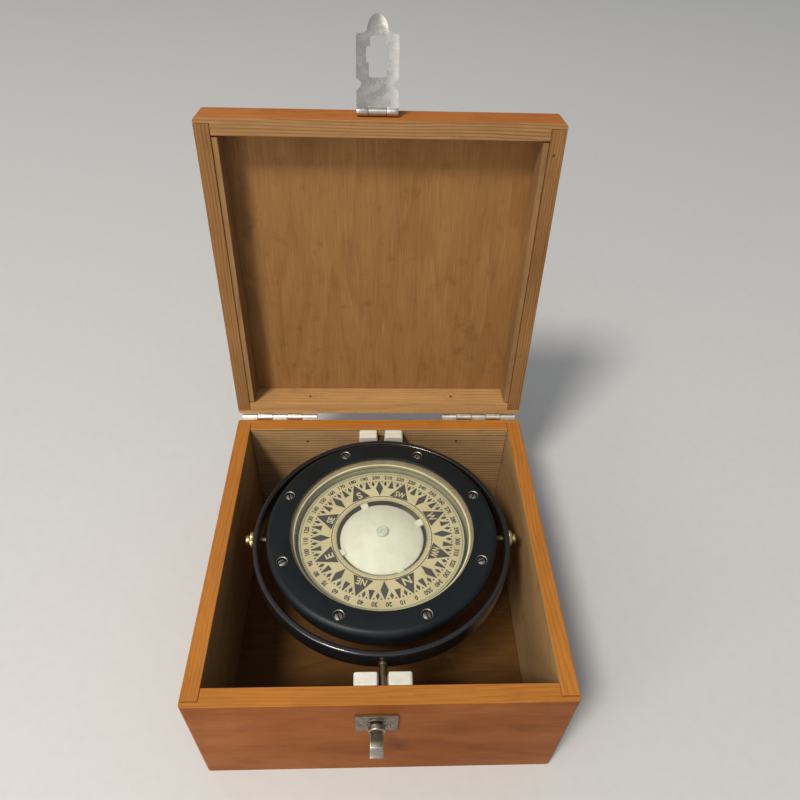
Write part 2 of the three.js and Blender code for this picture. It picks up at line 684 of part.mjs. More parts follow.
// ---- card ---------------------------------------------------------------------------------
function floatDome() {
  const t = 1;
  const hole = 2.3;
  const rise = DOME_TOP - DOME_RIM;
  const outer = [];
  for (let i = 0; i <= 4; i++) {
    const r = DOME_R + (hole - DOME_R) * (i / 4);
    outer.push([r, DOME_RIM + rise * (1 - (r / DOME_R) ** 2)]);
  }
  const inner = outer.map(([r, z]) => [Math.max(hole, r - (r > hole ? t * 0.4 : 0)), z - t]).reverse();
  const dome = turned([...outer, ...inner, outer[0]], ROUND);
  const tabs = [0, 90, 180, 270].map((angle) =>
    block([-2.2, DOME_R - 1.2, DOME_RIM - 0.2], [2.2, CARD_HOLE_R + 2.5, CARD_TOP - CARD_T - 0.2])
      .rotateZ(deg(angle)));
  return shaped([dome, ...tabs]);
}

function jewelCap() {
  const mouth = DOME_TOP - 2.2;
  const brim = DOME_TOP + 0.1;
  return turned([
    [0, DOME_TOP - 0.4], [1.3, mouth], [2, mouth], [2, brim], [3.6, brim],
    [3.6, JEWEL_TOP - 0.6], [2.9, JEWEL_TOP], [0, JEWEL_TOP],
  ], SMALL_ROUND);
}

function addCard(card) {
  const disc = washer(CARD_HOLE_R, CARD_R, CARD_TOP - CARD_T, CARD_TOP, LARGE_ROUND);
  place(card, 'compass_card', disc, cardPaper);
  place(card, 'float_dome', floatDome(), floatWhite);
  place(card, 'float_base', washer(4.5, 23.6, DOME_RIM - 2, DOME_RIM - 1.2), floatWhite);
  place(card, 'jewel_cap', jewelCap(), brass);
  for (const [name, side] of [['left', -1], ['right', 1]]) {
    const magnet = rod('y', 1.5, -17, 17, TINY_ROUND).translate(side * 9, 0, DOME_RIM - 3.7);
    place(card, `magnet_${name}`, magnet, lead);
  }
}

// ---- assembly -----------------------------------------------------------------------------
const compass = new THREE.Group();

// The lid is drawn shut, in the box's frame, and its group turns it open about the hinges.
const lidTurn = new THREE.Group();
lidTurn.position.copy(HINGE_AXIS);
lidTurn.rotation.x = deg(-LID_OPEN);
const lid = new THREE.Group();
lid.position.copy(HINGE_AXIS).negate();
lidTurn.add(lid);
compass.add(lidTurn);

const gimbal = new THREE.Group();
gimbal.position.set(GIMBAL_X, GIMBAL_Y, GIMBAL_Z);
const card = new THREE.Group();
card.rotation.z = deg(CARD_NORTH - 90);
gimbal.add(card);
compass.add(gimbal);

addCase(compass);
addLidWood(lid);
addHinges(compass, lid);
addHasp(compass, lid);
addPivotBlocks(compass);
addGimbalRing(gimbal);
addBowl(gimbal);
addCard(card);

export default compass;
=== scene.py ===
"""The looks of a gimballed boat compass in its wooden box.

Lengths are in millimetres, turned into metres by mm() and MM. X is right, Y is back and Z is up.
"""

import json
import math
import random

import bmesh
import bpy
from mathutils import Matrix, Vector


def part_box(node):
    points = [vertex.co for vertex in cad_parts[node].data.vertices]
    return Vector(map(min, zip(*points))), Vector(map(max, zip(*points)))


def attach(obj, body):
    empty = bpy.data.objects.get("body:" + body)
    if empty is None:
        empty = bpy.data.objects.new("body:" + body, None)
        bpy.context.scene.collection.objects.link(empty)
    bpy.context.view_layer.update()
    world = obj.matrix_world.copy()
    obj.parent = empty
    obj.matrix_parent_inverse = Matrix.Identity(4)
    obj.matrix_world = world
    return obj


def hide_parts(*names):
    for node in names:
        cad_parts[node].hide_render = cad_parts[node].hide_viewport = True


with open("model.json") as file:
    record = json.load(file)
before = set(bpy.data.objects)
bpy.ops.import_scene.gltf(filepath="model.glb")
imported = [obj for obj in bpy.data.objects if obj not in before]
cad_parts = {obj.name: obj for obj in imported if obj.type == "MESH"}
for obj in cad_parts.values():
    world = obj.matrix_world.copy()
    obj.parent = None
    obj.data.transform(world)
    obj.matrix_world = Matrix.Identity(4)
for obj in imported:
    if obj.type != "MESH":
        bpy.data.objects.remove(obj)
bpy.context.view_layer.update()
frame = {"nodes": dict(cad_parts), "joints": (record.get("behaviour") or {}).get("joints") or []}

MM = 0.001
SEAT_GAP = 0.2  # between pieces that touch
JOINTS = {joint["name"]: joint for joint in frame["joints"]}


def mm(*values):
    return Vector([value * MM for value in values])


def box_mm(node):
    low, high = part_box(node)
    return low / MM, high / MM


def turn(degrees, axis):
    return Matrix.Rotation(math.radians(degrees), 4, axis)


def move(x, y, z):
    return Matrix.Translation(mm(x, y, z))


def joint_place(name):
    return Vector(JOINTS[name]["pos_m"]) / MM


# The frames that the pieces are drawn in.
GIMBAL = move(*joint_place("gimbal_roll"))
HINGE_AXIS = move(*joint_place("lid_hinge"))
LID_OPEN = JOINTS["lid_hinge"]["range_deg"][1]
STRAP_STAND = JOINTS["hasp_hinge"]["range_deg"][1]
LID = HINGE_AXIS @ turn(-LID_OPEN, "X") @ HINGE_AXIS.inverted()  # from the shut lid to the open one
HASP = move(*joint_place("hasp_hinge")) @ turn(-LID_OPEN, "X")
STRAP = HASP @ turn(-STRAP_STAND, "X")
CARD_NORTH = -65.5  # heading of the card's North, degrees from +X towards +Y
CARD = GIMBAL @ turn(CARD_NORTH - 90, "Z")


# ---- shader nodes ----


class Shader:
    """One material, with a short method for each kind of node it uses."""

    def __init__(self, name):
        self.material = bpy.data.materials.new(name)
        self.material.use_nodes = True
        self.tree = self.material.node_tree
        self.surface = self.tree.nodes["Principled BSDF"]
        self.place = self.node("ShaderNodeTexCoord", {}, "Object")

    def node(self, kind, inputs, output=0, **settings):
        made = self.tree.nodes.new(kind)
        for key, value in settings.items():
            setattr(made, key, value)
        self.feed(made, inputs)
        return made.outputs[output]

    def feed(self, node, inputs):
        for key, value in inputs.items():
            if isinstance(value, bpy.types.NodeSocket):
                self.tree.links.new(value, node.inputs[key])
            else:
                node.inputs[key].default_value = value

    def noise(self, waves, detail, roughness=0.5):
        """Noise with about so many waves for each millimetre: one number, or one along each axis."""
        each = waves if isinstance(waves, tuple) else (waves,) * 3
        scale = tuple(value / MM for value in each)
        place = self.node("ShaderNodeMapping", {"Vector": self.place, "Scale": scale})
        inputs = {"Vector": place, "Scale": 1, "Detail": detail, "Roughness": roughness}
        return self.node("ShaderNodeTexNoise", inputs)

    def math(self, operation, a, b, c=0.0):
        return self.node("ShaderNodeMath", {0: a, 1: b, 2: c}, operation=operation)

    def times(self, a, b):
        return self.math("MULTIPLY", a, b)

    def fit(self, value, low, high, to_low=0.0, to_high=1.0):
        inputs = {"Value": value, "From Min": low, "From Max": high, "To Min": to_low, "To Max": to_high}
        return self.node("ShaderNodeMapRange", inputs)

    def split(self):
        made = self.tree.nodes.new("ShaderNodeSeparateXYZ")
        self.tree.links.new(self.place, made.inputs[0])
        return made.outputs

    def mix(self, factor, a, b, blend="MIX"):
        colours = {6: self.colour(a), 7: self.colour(b), 0: factor}
        return self.node("ShaderNodeMix", colours, 2, data_type="RGBA", blend_type=blend)

    def colour(self, value):
        return value if isinstance(value, bpy.types.NodeSocket) else (*value, 1.0)[:4]

    def ramp(self, factor, *stops):
        made = self.tree.nodes.new("ShaderNodeValToRGB")
        self.tree.links.new(factor, made.inputs[0])
        elements = made.color_ramp.elements
        while len(elements) < len(stops):
            elements.new(1.0)
        for element, (place, value) in zip(elements, stops):
            element.position = place
            element.color = (value, value, value, 1) if isinstance(value, (int, float)) else (*value, 1)
        return made.outputs[0]

    def bump(self, height, distance_mm, strength):
        inputs = {"Height": height, "Distance": distance_mm * MM, "Strength": strength}
        return self.node("ShaderNodeBump", inputs)

    def finish(self, **inputs):
        """Sets the surface's sockets by name, with _ for each space."""
        named = {key.replace("_", " "): value for key, value in inputs.items()}
        for key, value in named.items():
            if isinstance(value, tuple):
                named[key] = self.colour(value)
        self.feed(self.surface, named)
        return self.material


# ---- materials ----


GRAIN = "grain"  # the attribute that holds a wooden piece's coordinates along and across its grain
RING_SLANT = 0.12  # how far the growth rings lean over, as a slope


def wood(name, early, late, ring, ring_depth, streak, blotch, rough, grime, wander=1.6, shine=0.2):
    """Wood whose grain runs along GRAIN's X, with a growth ring every so many millimetres along Z."""
    s = Shader(name)
    s.place = s.node("ShaderNodeAttribute", {}, "Vector", attribute_name=GRAIN)
    drift = s.noise((0.006, 0.03, 0.03), 2)
    rings = s.math("MULTIPLY_ADD", s.split()[2], 1 / (ring * MM), s.times(drift, wander * 6))
    rings = s.math("MULTIPLY_ADD", s.split()[1], RING_SLANT / (ring * MM), rings)
    phase = s.math("FRACT", rings, 0.0)
    late_share = s.ramp(phase, (0.0, 0.05), (0.45, 0.3), (0.82, 1.0), (0.94, 0.75), (1.0, 0.05))
    uneven = s.fit(s.noise((0.004, 0.25, 0.25), 2), 0.3, 0.7, 0.45, 1.0)
    share = s.times(s.times(late_share, ring_depth), uneven)
    colour = s.mix(share, early, late)
    fibre = s.noise((0.05, 2.2, 2.2), 4, 0.6)
    fibre = s.fit(fibre, 0.3, 0.7, 1 - streak, 1 + streak * 0.6)
    colour = s.mix(1.0, colour, s.node("ShaderNodeCombineColor", {0: fibre, 1: fibre, 2: fibre}), "MULTIPLY")
    pores = s.noise((0.12, 5.0, 5.0), 2, 0.7)
    pore_share = s.times(s.fit(pores, 0.66, 0.78), 0.45)
    colour = s.mix(pore_share, colour, tuple(v * 0.35 for v in late))
    patch = s.fit(s.noise((0.012, 0.03, 0.03), 4, 0.6), 0.35, 0.68)
    colour = s.mix(s.times(patch, blotch), colour, tuple(v * 0.62 for v in late))
    spots = s.noise(0.09, 6, 0.65)
    colour = s.mix(s.times(s.fit(spots, 0.56, 0.7), grime), colour, (0.035, 0.02, 0.01))
    height = s.math("ADD", s.times(share, -0.5), s.times(fibre, 0.6))
    roughness = s.fit(patch, 0.0, 1.0, rough - 0.05, rough + 0.1)
    return s.finish(Base_Color=colour, Roughness=roughness, Normal=s.bump(height, 0.10, 0.6),
                    Specular_IOR_Level=shine)


def metal(name, base, dull, rough, wear, speck=0.3, metallic=1.0):
    """Plated or bare metal with dull patches, fine scratches and dark specks."""
    s = Shader(name)
    patch = s.fit(s.noise(0.25, 6, 0.65), 0.4, 0.68)
    colour = s.mix(s.times(patch, wear), base, dull)
    specks = s.fit(s.noise(1.1, 4, 0.7), 0.64, 0.74)
    colour = s.mix(s.times(specks, speck), colour, tuple(v * 0.25 for v in dull))
    lines = s.noise((0.4, 9.0, 9.0), 3, 0.6)
    shine = s.math("ADD", s.fit(patch, 0, 1, rough, rough + 0.22), s.fit(lines, 0.3, 0.7, -0.06, 0.08))
    height = s.math("ADD", s.times(lines, 0.4), s.times(specks, -0.6))
    return s.finish(Base_Color=colour, Metallic=metallic, Roughness=shine, Normal=s.bump(height, 0.02, 0.5))


def paint(name, base, worn, rough, wear, grain=0.0, coat=0.0, shine=0.45):
    """Paint over metal: fine orange peel and dusty patches."""
    s = Shader(name)
    patch = s.fit(s.noise(0.05, 5, 0.6), 0.4, 0.7)
    colour = s.mix(s.times(patch, wear), base, tuple(v * 1.7 + 0.004 for v in base))
    dust = s.fit(s.noise(1.6, 5, 0.75), 0.6, 0.74)
    colour = s.mix(s.times(dust, wear * 0.6), colour, worn)
    peel = s.noise(2.5, 3, 0.6)
    roughness = s.fit(patch, 0, 1, rough, rough + 0.12)
    return s.finish(Base_Color=colour, Roughness=roughness, Normal=s.bump(peel, 0.05 * grain + 0.004, 0.6),
                    Coat_Weight=coat, Coat_Roughness=0.08, Specular_IOR_Level=shine)


def plastic(name, base, shade, rough, soft=0.0):
    """Moulded plastic with faint grubby patches."""
    s = Shader(name)
    patch = s.fit(s.noise(0.12, 6, 0.65), 0.45, 0.75)
    colour = s.mix(s.times(patch, 0.6), base, shade)
    fine = s.noise(1.5, 4, 0.6)
    return s.finish(Base_Color=colour, Roughness=s.fit(fine, 0.3, 0.7, rough - 0.05, rough + 0.08),
                    Normal=s.bump(fine, 0.03, 0.4), Subsurface_Weight=soft, Subsurface_Scale=2 * MM)


def card_paper():
    s = Shader("card_paper")
    patch = s.noise(0.07, 6, 0.6)
    colour = s.mix(s.fit(patch, 0.35, 0.7), (0.68, 0.59, 0.345), (0.55, 0.46, 0.245))
    flecks = s.noise(1.3, 3, 0.7)
    colour = s.mix(s.times(s.fit(flecks, 0.62, 0.76), 0.25), colour, (0.42, 0.33, 0.17))
    return s.finish(Base_Color=colour, Roughness=0.55, Normal=s.bump(flecks, 0.02, 0.3))


def ink():
    s = Shader("ink")
    patch = s.noise(0.9, 5, 0.7)
    colour = s.mix(s.fit(patch, 0.4, 0.7), (0.018, 0.015, 0.016), (0.045, 0.038, 0.036))
    return s.finish(Base_Color=colour, Roughness=0.5)


def clear_glass():
    """Thin flat glass: clear, with the room's light on it at a slant."""
    s = Shader("clear_glass")
    smears = s.noise(0.03, 4, 0.6)
    rough = s.fit(smears, 0.4, 0.7, 0.02, 0.09)
    s.finish(Base_Color=(0.95, 0.97, 0.95), Roughness=rough, Specular_IOR_Level=0.6)
    clear = s.node("ShaderNodeBsdfTransparent", {"Color": (0.98, 0.985, 0.97, 1)})
    share = s.math("MULTIPLY_ADD", s.node("ShaderNodeFresnel", {"IOR": 1.5}), 0.45, 0.0)
    mixed = s.node("ShaderNodeMixShader", {0: share, 1: clear, 2: s.surface.outputs[0]})
    s.tree.links.new(mixed, s.tree.nodes["Material Output"].inputs["Surface"])
    return s.material


VARNISHED = wood("varnished_wood", (0.315, 0.091, 0.009), (0.205, 0.049, 0.004), 3.2, 0.35,
                 streak=0.18, blotch=0.65, rough=0.42, grime=0.2, shine=0.08)
LID_VARNISHED = wood("varnished_lid_wood", (0.50, 0.175, 0.038), (0.36, 0.105, 0.018), 3.2, 0.4,
                     streak=0.18, blotch=0.4, rough=0.45, grime=0.15, shine=0.08)
RIM = wood("rim_wood", (0.485, 0.187, 0.032), (0.315, 0.096, 0.014), 2.1, 0.55,
           streak=0.18, blotch=0.3, rough=0.5, grime=0.1, shine=0.15)
RAW = wood("raw_wood", (0.40, 0.215, 0.085), (0.17, 0.072, 0.022), 1.75, 0.85,
           streak=0.2, blotch=0.25, wander=0.8, rough=0.7, grime=0.15)
RAW_SIDE = wood("raw_wood_side", (0.33, 0.165, 0.058), (0.14, 0.055, 0.016), 1.75, 0.85,
                streak=0.2, blotch=0.3, wander=0.8, rough=0.7, grime=0.15, shine=0.1)
# A lighter copy of the raw wood for the inside of the lid's back board: painted light from the lamp above.
RAW_LIT = wood("raw_wood_painted_light", (0.56, 0.315, 0.12), (0.33, 0.155, 0.045), 2.6, 0.6,
                streak=0.2, blotch=0.25, wander=0.8, rough=0.7, grime=0.15)
RAW_DARK = wood("raw_wood_inside", (0.54, 0.34, 0.155), (0.19, 0.088, 0.03), 2.1, 1.0,
                streak=0.22, blotch=0.25, wander=0.5, rough=0.7, grime=0.2)
RAW_SHADE = wood("raw_wood_shaded", (0.45, 0.275, 0.118), (0.30, 0.17, 0.07), 2.1, 0.5,
                 streak=0.25, blotch=0.35, wander=0.5, rough=0.7, grime=0.25)
PLY = wood("panel_plywood", (0.32, 0.155, 0.049), (0.225, 0.10, 0.028), 16, 0.6,
           streak=0.26, blotch=0.28, wander=0.9, rough=0.6, grime=0.25)
FLOOR_PLY = wood("floor_plywood", (0.145, 0.064, 0.013), (0.088, 0.036, 0.007), 14, 0.6,
                 streak=0.3, blotch=0.5, rough=0.65, grime=0.4)
BATTEN = wood("batten_wood", (0.34, 0.185, 0.075), (0.19, 0.09, 0.032), 2.4, 0.7,
              streak=0.25, blotch=0.4, rough=0.65, grime=0.2)

ZINC = metal("zinc_plate", (0.58, 0.56, 0.52), (0.38, 0.36, 0.31), 0.24, 0.6, 0.2)
STRAP_ZINC = metal("strap_zinc", (0.61, 0.58, 0.54), (0.50, 0.47, 0.43), 0.2, 0.4, 0.12)
PLATE_ZINC = metal("plate_zinc", (0.27, 0.225, 0.175), (0.14, 0.11, 0.08), 0.36, 0.9, 0.7)
BUTTON_ZINC = metal("button_zinc", (0.42, 0.385, 0.335), (0.28, 0.25, 0.21), 0.26, 0.5, 0.2)
# Darker zinc for the turn button's boss front and the neck behind its flange: painted shade.
SHADED_ZINC = metal("zinc_painted_shade", (0.17, 0.145, 0.115), (0.10, 0.08, 0.06), 0.4, 0.8, 0.5)
HINGE_STEEL = metal("hinge_steel", (0.76, 0.73, 0.66), (0.54, 0.50, 0.43), 0.3, 0.4, 0.15)
NAIL_STEEL = metal("nail_steel", (0.16, 0.14, 0.12), (0.07, 0.05, 0.04), 0.5, 0.7)
SCREW_METAL = metal("screw_metal", (0.50, 0.49, 0.46), (0.24, 0.22, 0.19), 0.3, 0.6, 0.6)
BRIGHT_SCREW = metal("bright_screw", (0.75, 0.74, 0.70), (0.50, 0.48, 0.44), 0.3, 0.5)
BEZEL_SCREW = metal("bezel_screw", (0.50, 0.48, 0.45), (0.15, 0.14, 0.13), 0.25, 0.7, 0.8)
# Near black for the faces inside screw slots: painted shade in the slots.
SLOT_SHADE = metal("slot_painted_shade", (0.045, 0.04, 0.035), (0.02, 0.018, 0.016), 0.6, 0.6, metallic=0.3)
CUP_EDGE = metal("cup_edge", (0.48, 0.46, 0.42), (0.18, 0.17, 0.15), 0.4, 0.6, 0.6)
BRASS = metal("aged_brass", (0.62, 0.49, 0.24), (0.30, 0.23, 0.12), 0.32, 0.7, 0.4)
# Dark brass: dull on the gimbal pins and the diaphragm, and painted shade on the pivot screws' shanks inside
# the ring.
DULL_AND_SHADED_BRASS = metal("dull_brass_and_painted_shade", (0.20, 0.16, 0.095), (0.10, 0.078, 0.048), 0.4, 0.7)
LEAD = metal("dull_lead", (0.22, 0.22, 0.23), (0.13, 0.13, 0.13), 0.55, 0.6)

GLOSS_BLACK = paint("gloss_black", (0.008, 0.008, 0.009), (0.12, 0.11, 0.10), 0.2, 0.15, coat=0.6)
MATT_BLACK = paint("matt_black", (0.0045, 0.008, 0.0095), (0.06, 0.065, 0.065), 0.44, 0.2, 0.5, shine=0.3)
BOWL_BLACK = paint("bowl_black", (0.012, 0.013, 0.014), (0.09, 0.085, 0.08), 0.35, 0.3, 0.4)
CREAM_PAINT = paint("cream_paint", (0.74, 0.68, 0.44), (0.36, 0.30, 0.16), 0.5, 0.35, 0.4)
# The bowl's inside is the same cream paint. This darker olive is that paint with painted shade.
CREAM_IN_SHADE = paint("cream_paint_painted_shade", (0.36, 0.33, 0.20), (0.18, 0.16, 0.08), 0.5, 0.2)

RIM_PAPER = plastic("card_rim_paint", (0.50, 0.47, 0.30), (0.38, 0.35, 0.21), 0.5)
JEWEL = plastic("jewel_white", (0.62, 0.66, 0.58), (0.46, 0.48, 0.42), 0.28)
NYLON = plastic("white_nylon", (0.72, 0.70, 0.61), (0.50, 0.46, 0.34), 0.38, soft=0.1)
FLOAT = plastic("float_white", (0.78, 0.77, 0.65), (0.62, 0.60, 0.48), 0.5, soft=0.05)
GASKET = plastic("gasket", (0.34, 0.25, 0.13), (0.16, 0.11, 0.06), 0.7)
RUBBER = plastic("black_rubber", (0.02, 0.02, 0.02), (0.05, 0.045, 0.04), 0.7)
FLOOR = plastic("pale_floor", (0.60, 0.595, 0.58), (0.565, 0.56, 0.545), 0.75)
PAPER = card_paper()
INK = ink()
GLASS = clear_glass()


# ---- mesh helpers ----


def piece(name, bm, materials, body, place=Matrix(), replaces=(), sharp=38):
    """Makes the object of a finished bmesh, drawn in place's frame, and lets it ride on a body."""
    bmesh.ops.recalc_face_normals(bm, faces=bm.faces)
    mesh = bpy.data.meshes.new(name)
    bm.to_mesh(mesh)
    bm.free()
    for material in materials:
        mesh.materials.append(material)
    mesh.shade_smooth()
    mesh.set_sharp_from_angle(angle=math.radians(sharp))
    made = bpy.data.objects.new(name, mesh)
    bpy.context.scene.collection.objects.link(made)
    made.matrix_world = place
    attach(made, body)
    if replaces:
        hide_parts(*replaces)
    return made


def soften(made, width, segments=2, angle=50):
    """Rounds the piece's sharp edges."""
    bevel = made.modifiers.new("edges", "BEVEL")
    bevel.width = width * MM
    bevel.segments = segments
    bevel.limit_method = "ANGLE"
    bevel.angle_limit = math.radians(angle)
    bevel.harden_normals = True


def cad_copy(node, place):
    """A CAD node's solid as a clean bmesh in place's frame, with its flat faces whole."""
    bm = bmesh.new()
    bm.from_mesh(frame["nodes"][node].data)
    bm.transform(place.inverted())
    bmesh.ops.remove_doubles(bm, verts=bm.verts, dist=1e-6)
    bmesh.ops.dissolve_limit(bm, angle_limit=math.radians(0.5), verts=bm.verts, edges=bm.edges)
    return bm


def circle(count):
    """Evenly spaced angles, once around."""
    return [2 * math.pi * i / count for i in range(count)]


def lathe(bm, profile, segments, closed=True, place=Matrix(), material=0):
    """Turns (radius, height) points about place's Z. An open profile starts and ends on the axis."""
    rings = []
    for radius, height in profile:
        count = 1 if radius < 1e-6 else segments
        spots = [mm(radius * math.cos(a), radius * math.sin(a), height) for a in circle(segments)[:count]]
        rings.append([bm.verts.new(place @ spot) for spot in spots])
    following = rings[1:] + rings[:1] if closed else rings[1:]
    for low, high in zip(rings, following):
        for i in range(segments):
            j = (i + 1) % segments
            corners = [low[i % len(low)], low[j % len(low)], high[j % len(high)], high[i % len(high)]]
            face = bm.faces.new(list(dict.fromkeys(corners)))
            face.material_index = material
    return bm


def rounded(points, steps=4, closed=True):
    """(x, y, corner radius) points with each corner made into an arc."""
    made = []
    for i, (x, y, radius) in enumerate(points):
        corner = Vector((x, y))
        if radius == 0 or (not closed and i in (0, len(points) - 1)):
            made.append((x, y))
            continue
        back = (Vector(points[i - 1][:2]) - corner).normalized()
        ahead = (Vector(points[(i + 1) % len(points)][:2]) - corner).normalized()
        half = back.angle(ahead) / 2
        centre = corner + (back + ahead).normalized() * (radius / math.sin(half))
        start = corner + back * (radius / math.tan(half)) - centre
        end = corner + ahead * (radius / math.tan(half)) - centre
        sweep = start.angle(end)
        for k in range(steps + 1):
            share = k / steps
            arm = start * math.sin((1 - share) * sweep) + end * math.sin(share * sweep)
            made.append(tuple(centre + arm / math.sin(sweep)))
    return made


def ring_of(inner, outer, low, high, edge, steps=3):
    """The profile of a plain ring with rounded edges."""
    corners = [(inner, low, edge), (outer, low, edge), (outer, high, edge), (inner, high, edge)]
    return rounded(corners, steps)


def turned(corners, steps, segments):
    """A solid turned from (radius, height, corner radius) points, from the axis back to the axis."""
    return lathe(bmesh.new(), rounded(corners, steps, closed=False), segments, closed=False)


def prism(bm, outline, low, high, place=Matrix()):
    """Extrudes an outline of (x, y) points from z = low to z = high."""
    bottom = [bm.verts.new(place @ mm(x, y, low)) for x, y in outline]
    top = [bm.verts.new(place @ mm(x, y, high)) for x, y in outline]
    bm.faces.new(list(reversed(bottom)))
    bm.faces.new(top)
    for i in range(len(outline)):
        j = (i + 1) % len(outline)
        bm.faces.new([bottom[i], bottom[j], top[j], top[i]])
    return bm


def slab(low, high, place=Matrix()):
    """A box from its lowest to its highest corner."""
    (x0, y0, z0), (x1, y1, z1) = low, high
    return prism(bmesh.new(), [(x0, y0), (x1, y0), (x1, y1), (x0, y1)], z0, z1, place)


def difference(bm, cutter):
    """bm without the solids in cutter. Both are used up."""
    holders = []
    for source in (bm, cutter):
        bmesh.ops.recalc_face_normals(source, faces=source.faces)
        mesh = bpy.data.meshes.new("scratch")
        source.to_mesh(mesh)
        source.free()
        holder = bpy.data.objects.new("scratch", mesh)
        bpy.context.scene.collection.objects.link(holder)
        holders.append(holder)
    modifier = holders[0].modifiers.new("cut", "BOOLEAN")
    modifier.operation = "DIFFERENCE"
    modifier.solver = "EXACT"
    modifier.object = holders[1]
    bpy.context.view_layer.update()
    evaluated = holders[0].evaluated_get(bpy.context.evaluated_depsgraph_get())
    result = bmesh.new()
    result.from_mesh(evaluated.to_mesh())
    evaluated.to_mesh_clear()
    for holder in holders:
        mesh = holder.data
        bpy.data.objects.remove(holder)
        bpy.data.meshes.remove(mesh)
    return result


def stamp(bm, source, place, material=None):
    """Adds a copy of the bmesh source, moved by place, with its own materials unless one is given."""
    mesh = bpy.data.meshes.new("scratch")
    source.to_mesh(mesh)
    first_vert, first_face = len(bm.verts), len(bm.faces)
    bm.from_mesh(mesh)
    bpy.data.meshes.remove(mesh)
    bmesh.ops.transform(bm, matrix=place, verts=bm.verts[first_vert:])
    bm.faces.ensure_lookup_table()
    if material is not None:
        for face in bm.faces[first_face:]:
            face.material_index = material
    return bm


def screw_head(radius, height, dome, slot_depth, slot_half=0.16):
    """A slotted screw head with its seat at z = 0. Its slot runs along X and has material 1, for painted
    shade in the slot.

    dome is how much the middle rises, and slot_half is half the slot's width as a share of the radius.
    """
    flank = height - dome
    profile = [(0, 0), (radius * 0.9, 0), (radius, 0.12), (radius, flank)]
    profile += [(radius * share, flank + dome * (1 - share**2)) for share in (0.94, 0.8, 0.6, 0.3)]
    head = lathe(bmesh.new(), profile + [(0, height)], 32, closed=False)
    half = radius * slot_half
    slot_floor = height - slot_depth
    head = difference(head, slab((-2 * radius, -half, slot_floor), (2 * radius, half, height + 1)))
    for face in head.faces:
        centre = face.calc_center_median() / MM
        face.material_index = int(abs(centre.y) < half + 0.01 and centre.z > slot_floor - 0.01)
    return head


def screws(name, body, head, places, material, seed, frame_place=Matrix()):
    """Several alike screws as one piece, each turned its own way."""
    pick = random.Random(seed)
    bm = bmesh.new()
    for place in places:
        stamp(bm, head, place @ turn(pick.uniform(0, 180), "Z"))
    piece(name, bm, [material, SLOT_SHADE], body, frame_place)


# ---- wooden boards ----


def grain_frame(along, normal, lean, start):
    """X runs along the grain, and Z, leant over by some degrees, across the growth rings."""
    x, z = Vector(along), Vector(normal)
    axes = Matrix((x, z.cross(x), z)).transposed().to_4x4()
    return axes @ turn(lean, "X") @ move(*start)


def board(node, body, materials, choose, grain, place=Matrix(), edge=0.3):
    """A board on its CAD node's solid. choose gives each face's material from its normal and centre."""
    bm = cad_copy(node, place)
    for face in bm.faces:
        face.material_index = choose(face.normal, face.calc_center_median())
    made = piece(node + "_wood", bm, materials, body, place, [node])
    soften(made, edge)
    bpy.context.view_layer.update()
    evaluated = made.evaluated_get(bpy.context.evaluated_depsgraph_get())
    mesh = bpy.data.meshes.new_from_object(evaluated)
    made.modifiers.clear()
    made.data = mesh
    to_grain = grain.inverted()
    values = [value for vertex in mesh.vertices for value in to_grain @ vertex.co]
    mesh.attributes.new(GRAIN, "FLOAT_VECTOR", "POINT").data.foreach_set("vector", values)


def one_look(normal, centre):
    return 0


ACROSS_X = ((1, 0, 0), (0, 1, 0))  # a board along X, with its rings across its thickness
ACROSS_Y = ((0, 1, 0), (1, 0, 0))


def case_face(normal, centre):
    """Outside 0, the rim on top 1, inside 2."""
    if normal.z > 0.7:
        return 1
    return 0 if normal.x * centre.x + normal.y * centre.y > 0 else 2


def lid_face(normal, centre):
    """Outside 0, inside and rim 1, in the shut lid's frame."""
    if normal.z < -0.7:
        return 1
    if normal.z > 0.7:
        return 0
    return 0 if normal.x * centre.x + normal.y * centre.y > 0 else 1


def add_case():
    for name, axes, lean, start, inside in (
        ("front", ACROSS_X, 14, (310, 20, 3), RAW_DARK),
        ("back", ACROSS_X, 58, (820, 5, 11), RAW_DARK),
        ("left", ACROSS_Y, 12, (140, 40, 7), RAW_SHADE),
        ("right", ACROSS_Y, -15, (560, 70, 29), RAW_SHADE),
    ):
        looks = [VARNISHED, RIM, inside]
        board(f"case_{name}_board", "case", looks, case_face, grain_frame(*axes, lean, start))
    floor_grain = grain_frame((1, 0, 0), (0, 0, 1), 3, (40, 0, 2))
    board("case_floor", "case", [FLOOR_PLY], one_look, floor_grain)


def add_lid_wood():
    for name, axes, lean, start, inside in (
        ("front", ACROSS_X, 5, (420, 8, 1), RAW),
        # The back board's inside gets the lighter raw wood, as painted light.
        ("back", ACROSS_X, 70, (77, 3, 15), RAW_LIT),
        ("left", ACROSS_Y, 22, (640, 12, 9), RAW_SIDE),
        ("right", ACROSS_Y, 8, (930, 30, 21), RAW_SIDE),
    ):
        grain = grain_frame(*axes, lean, start)
        board(f"lid_{name}_board", "lid", [LID_VARNISHED, inside], lid_face, grain, LID)
    panel_grain = grain_frame((0, 1, 0), (0, 0, 1), 4, (50, 10, 5))
    board("lid_panel", "lid", [PLY], one_look, panel_grain, LID)
    for name, start in (("left", (30, 4, 2)), ("right", (270, 9, 6))):
        grain = grain_frame((0, 1, 0), (0, 0, 1), 10, start)
        board(f"lid_batten_{name}", "lid", [BATTEN], one_look, grain, LID, 0.35)


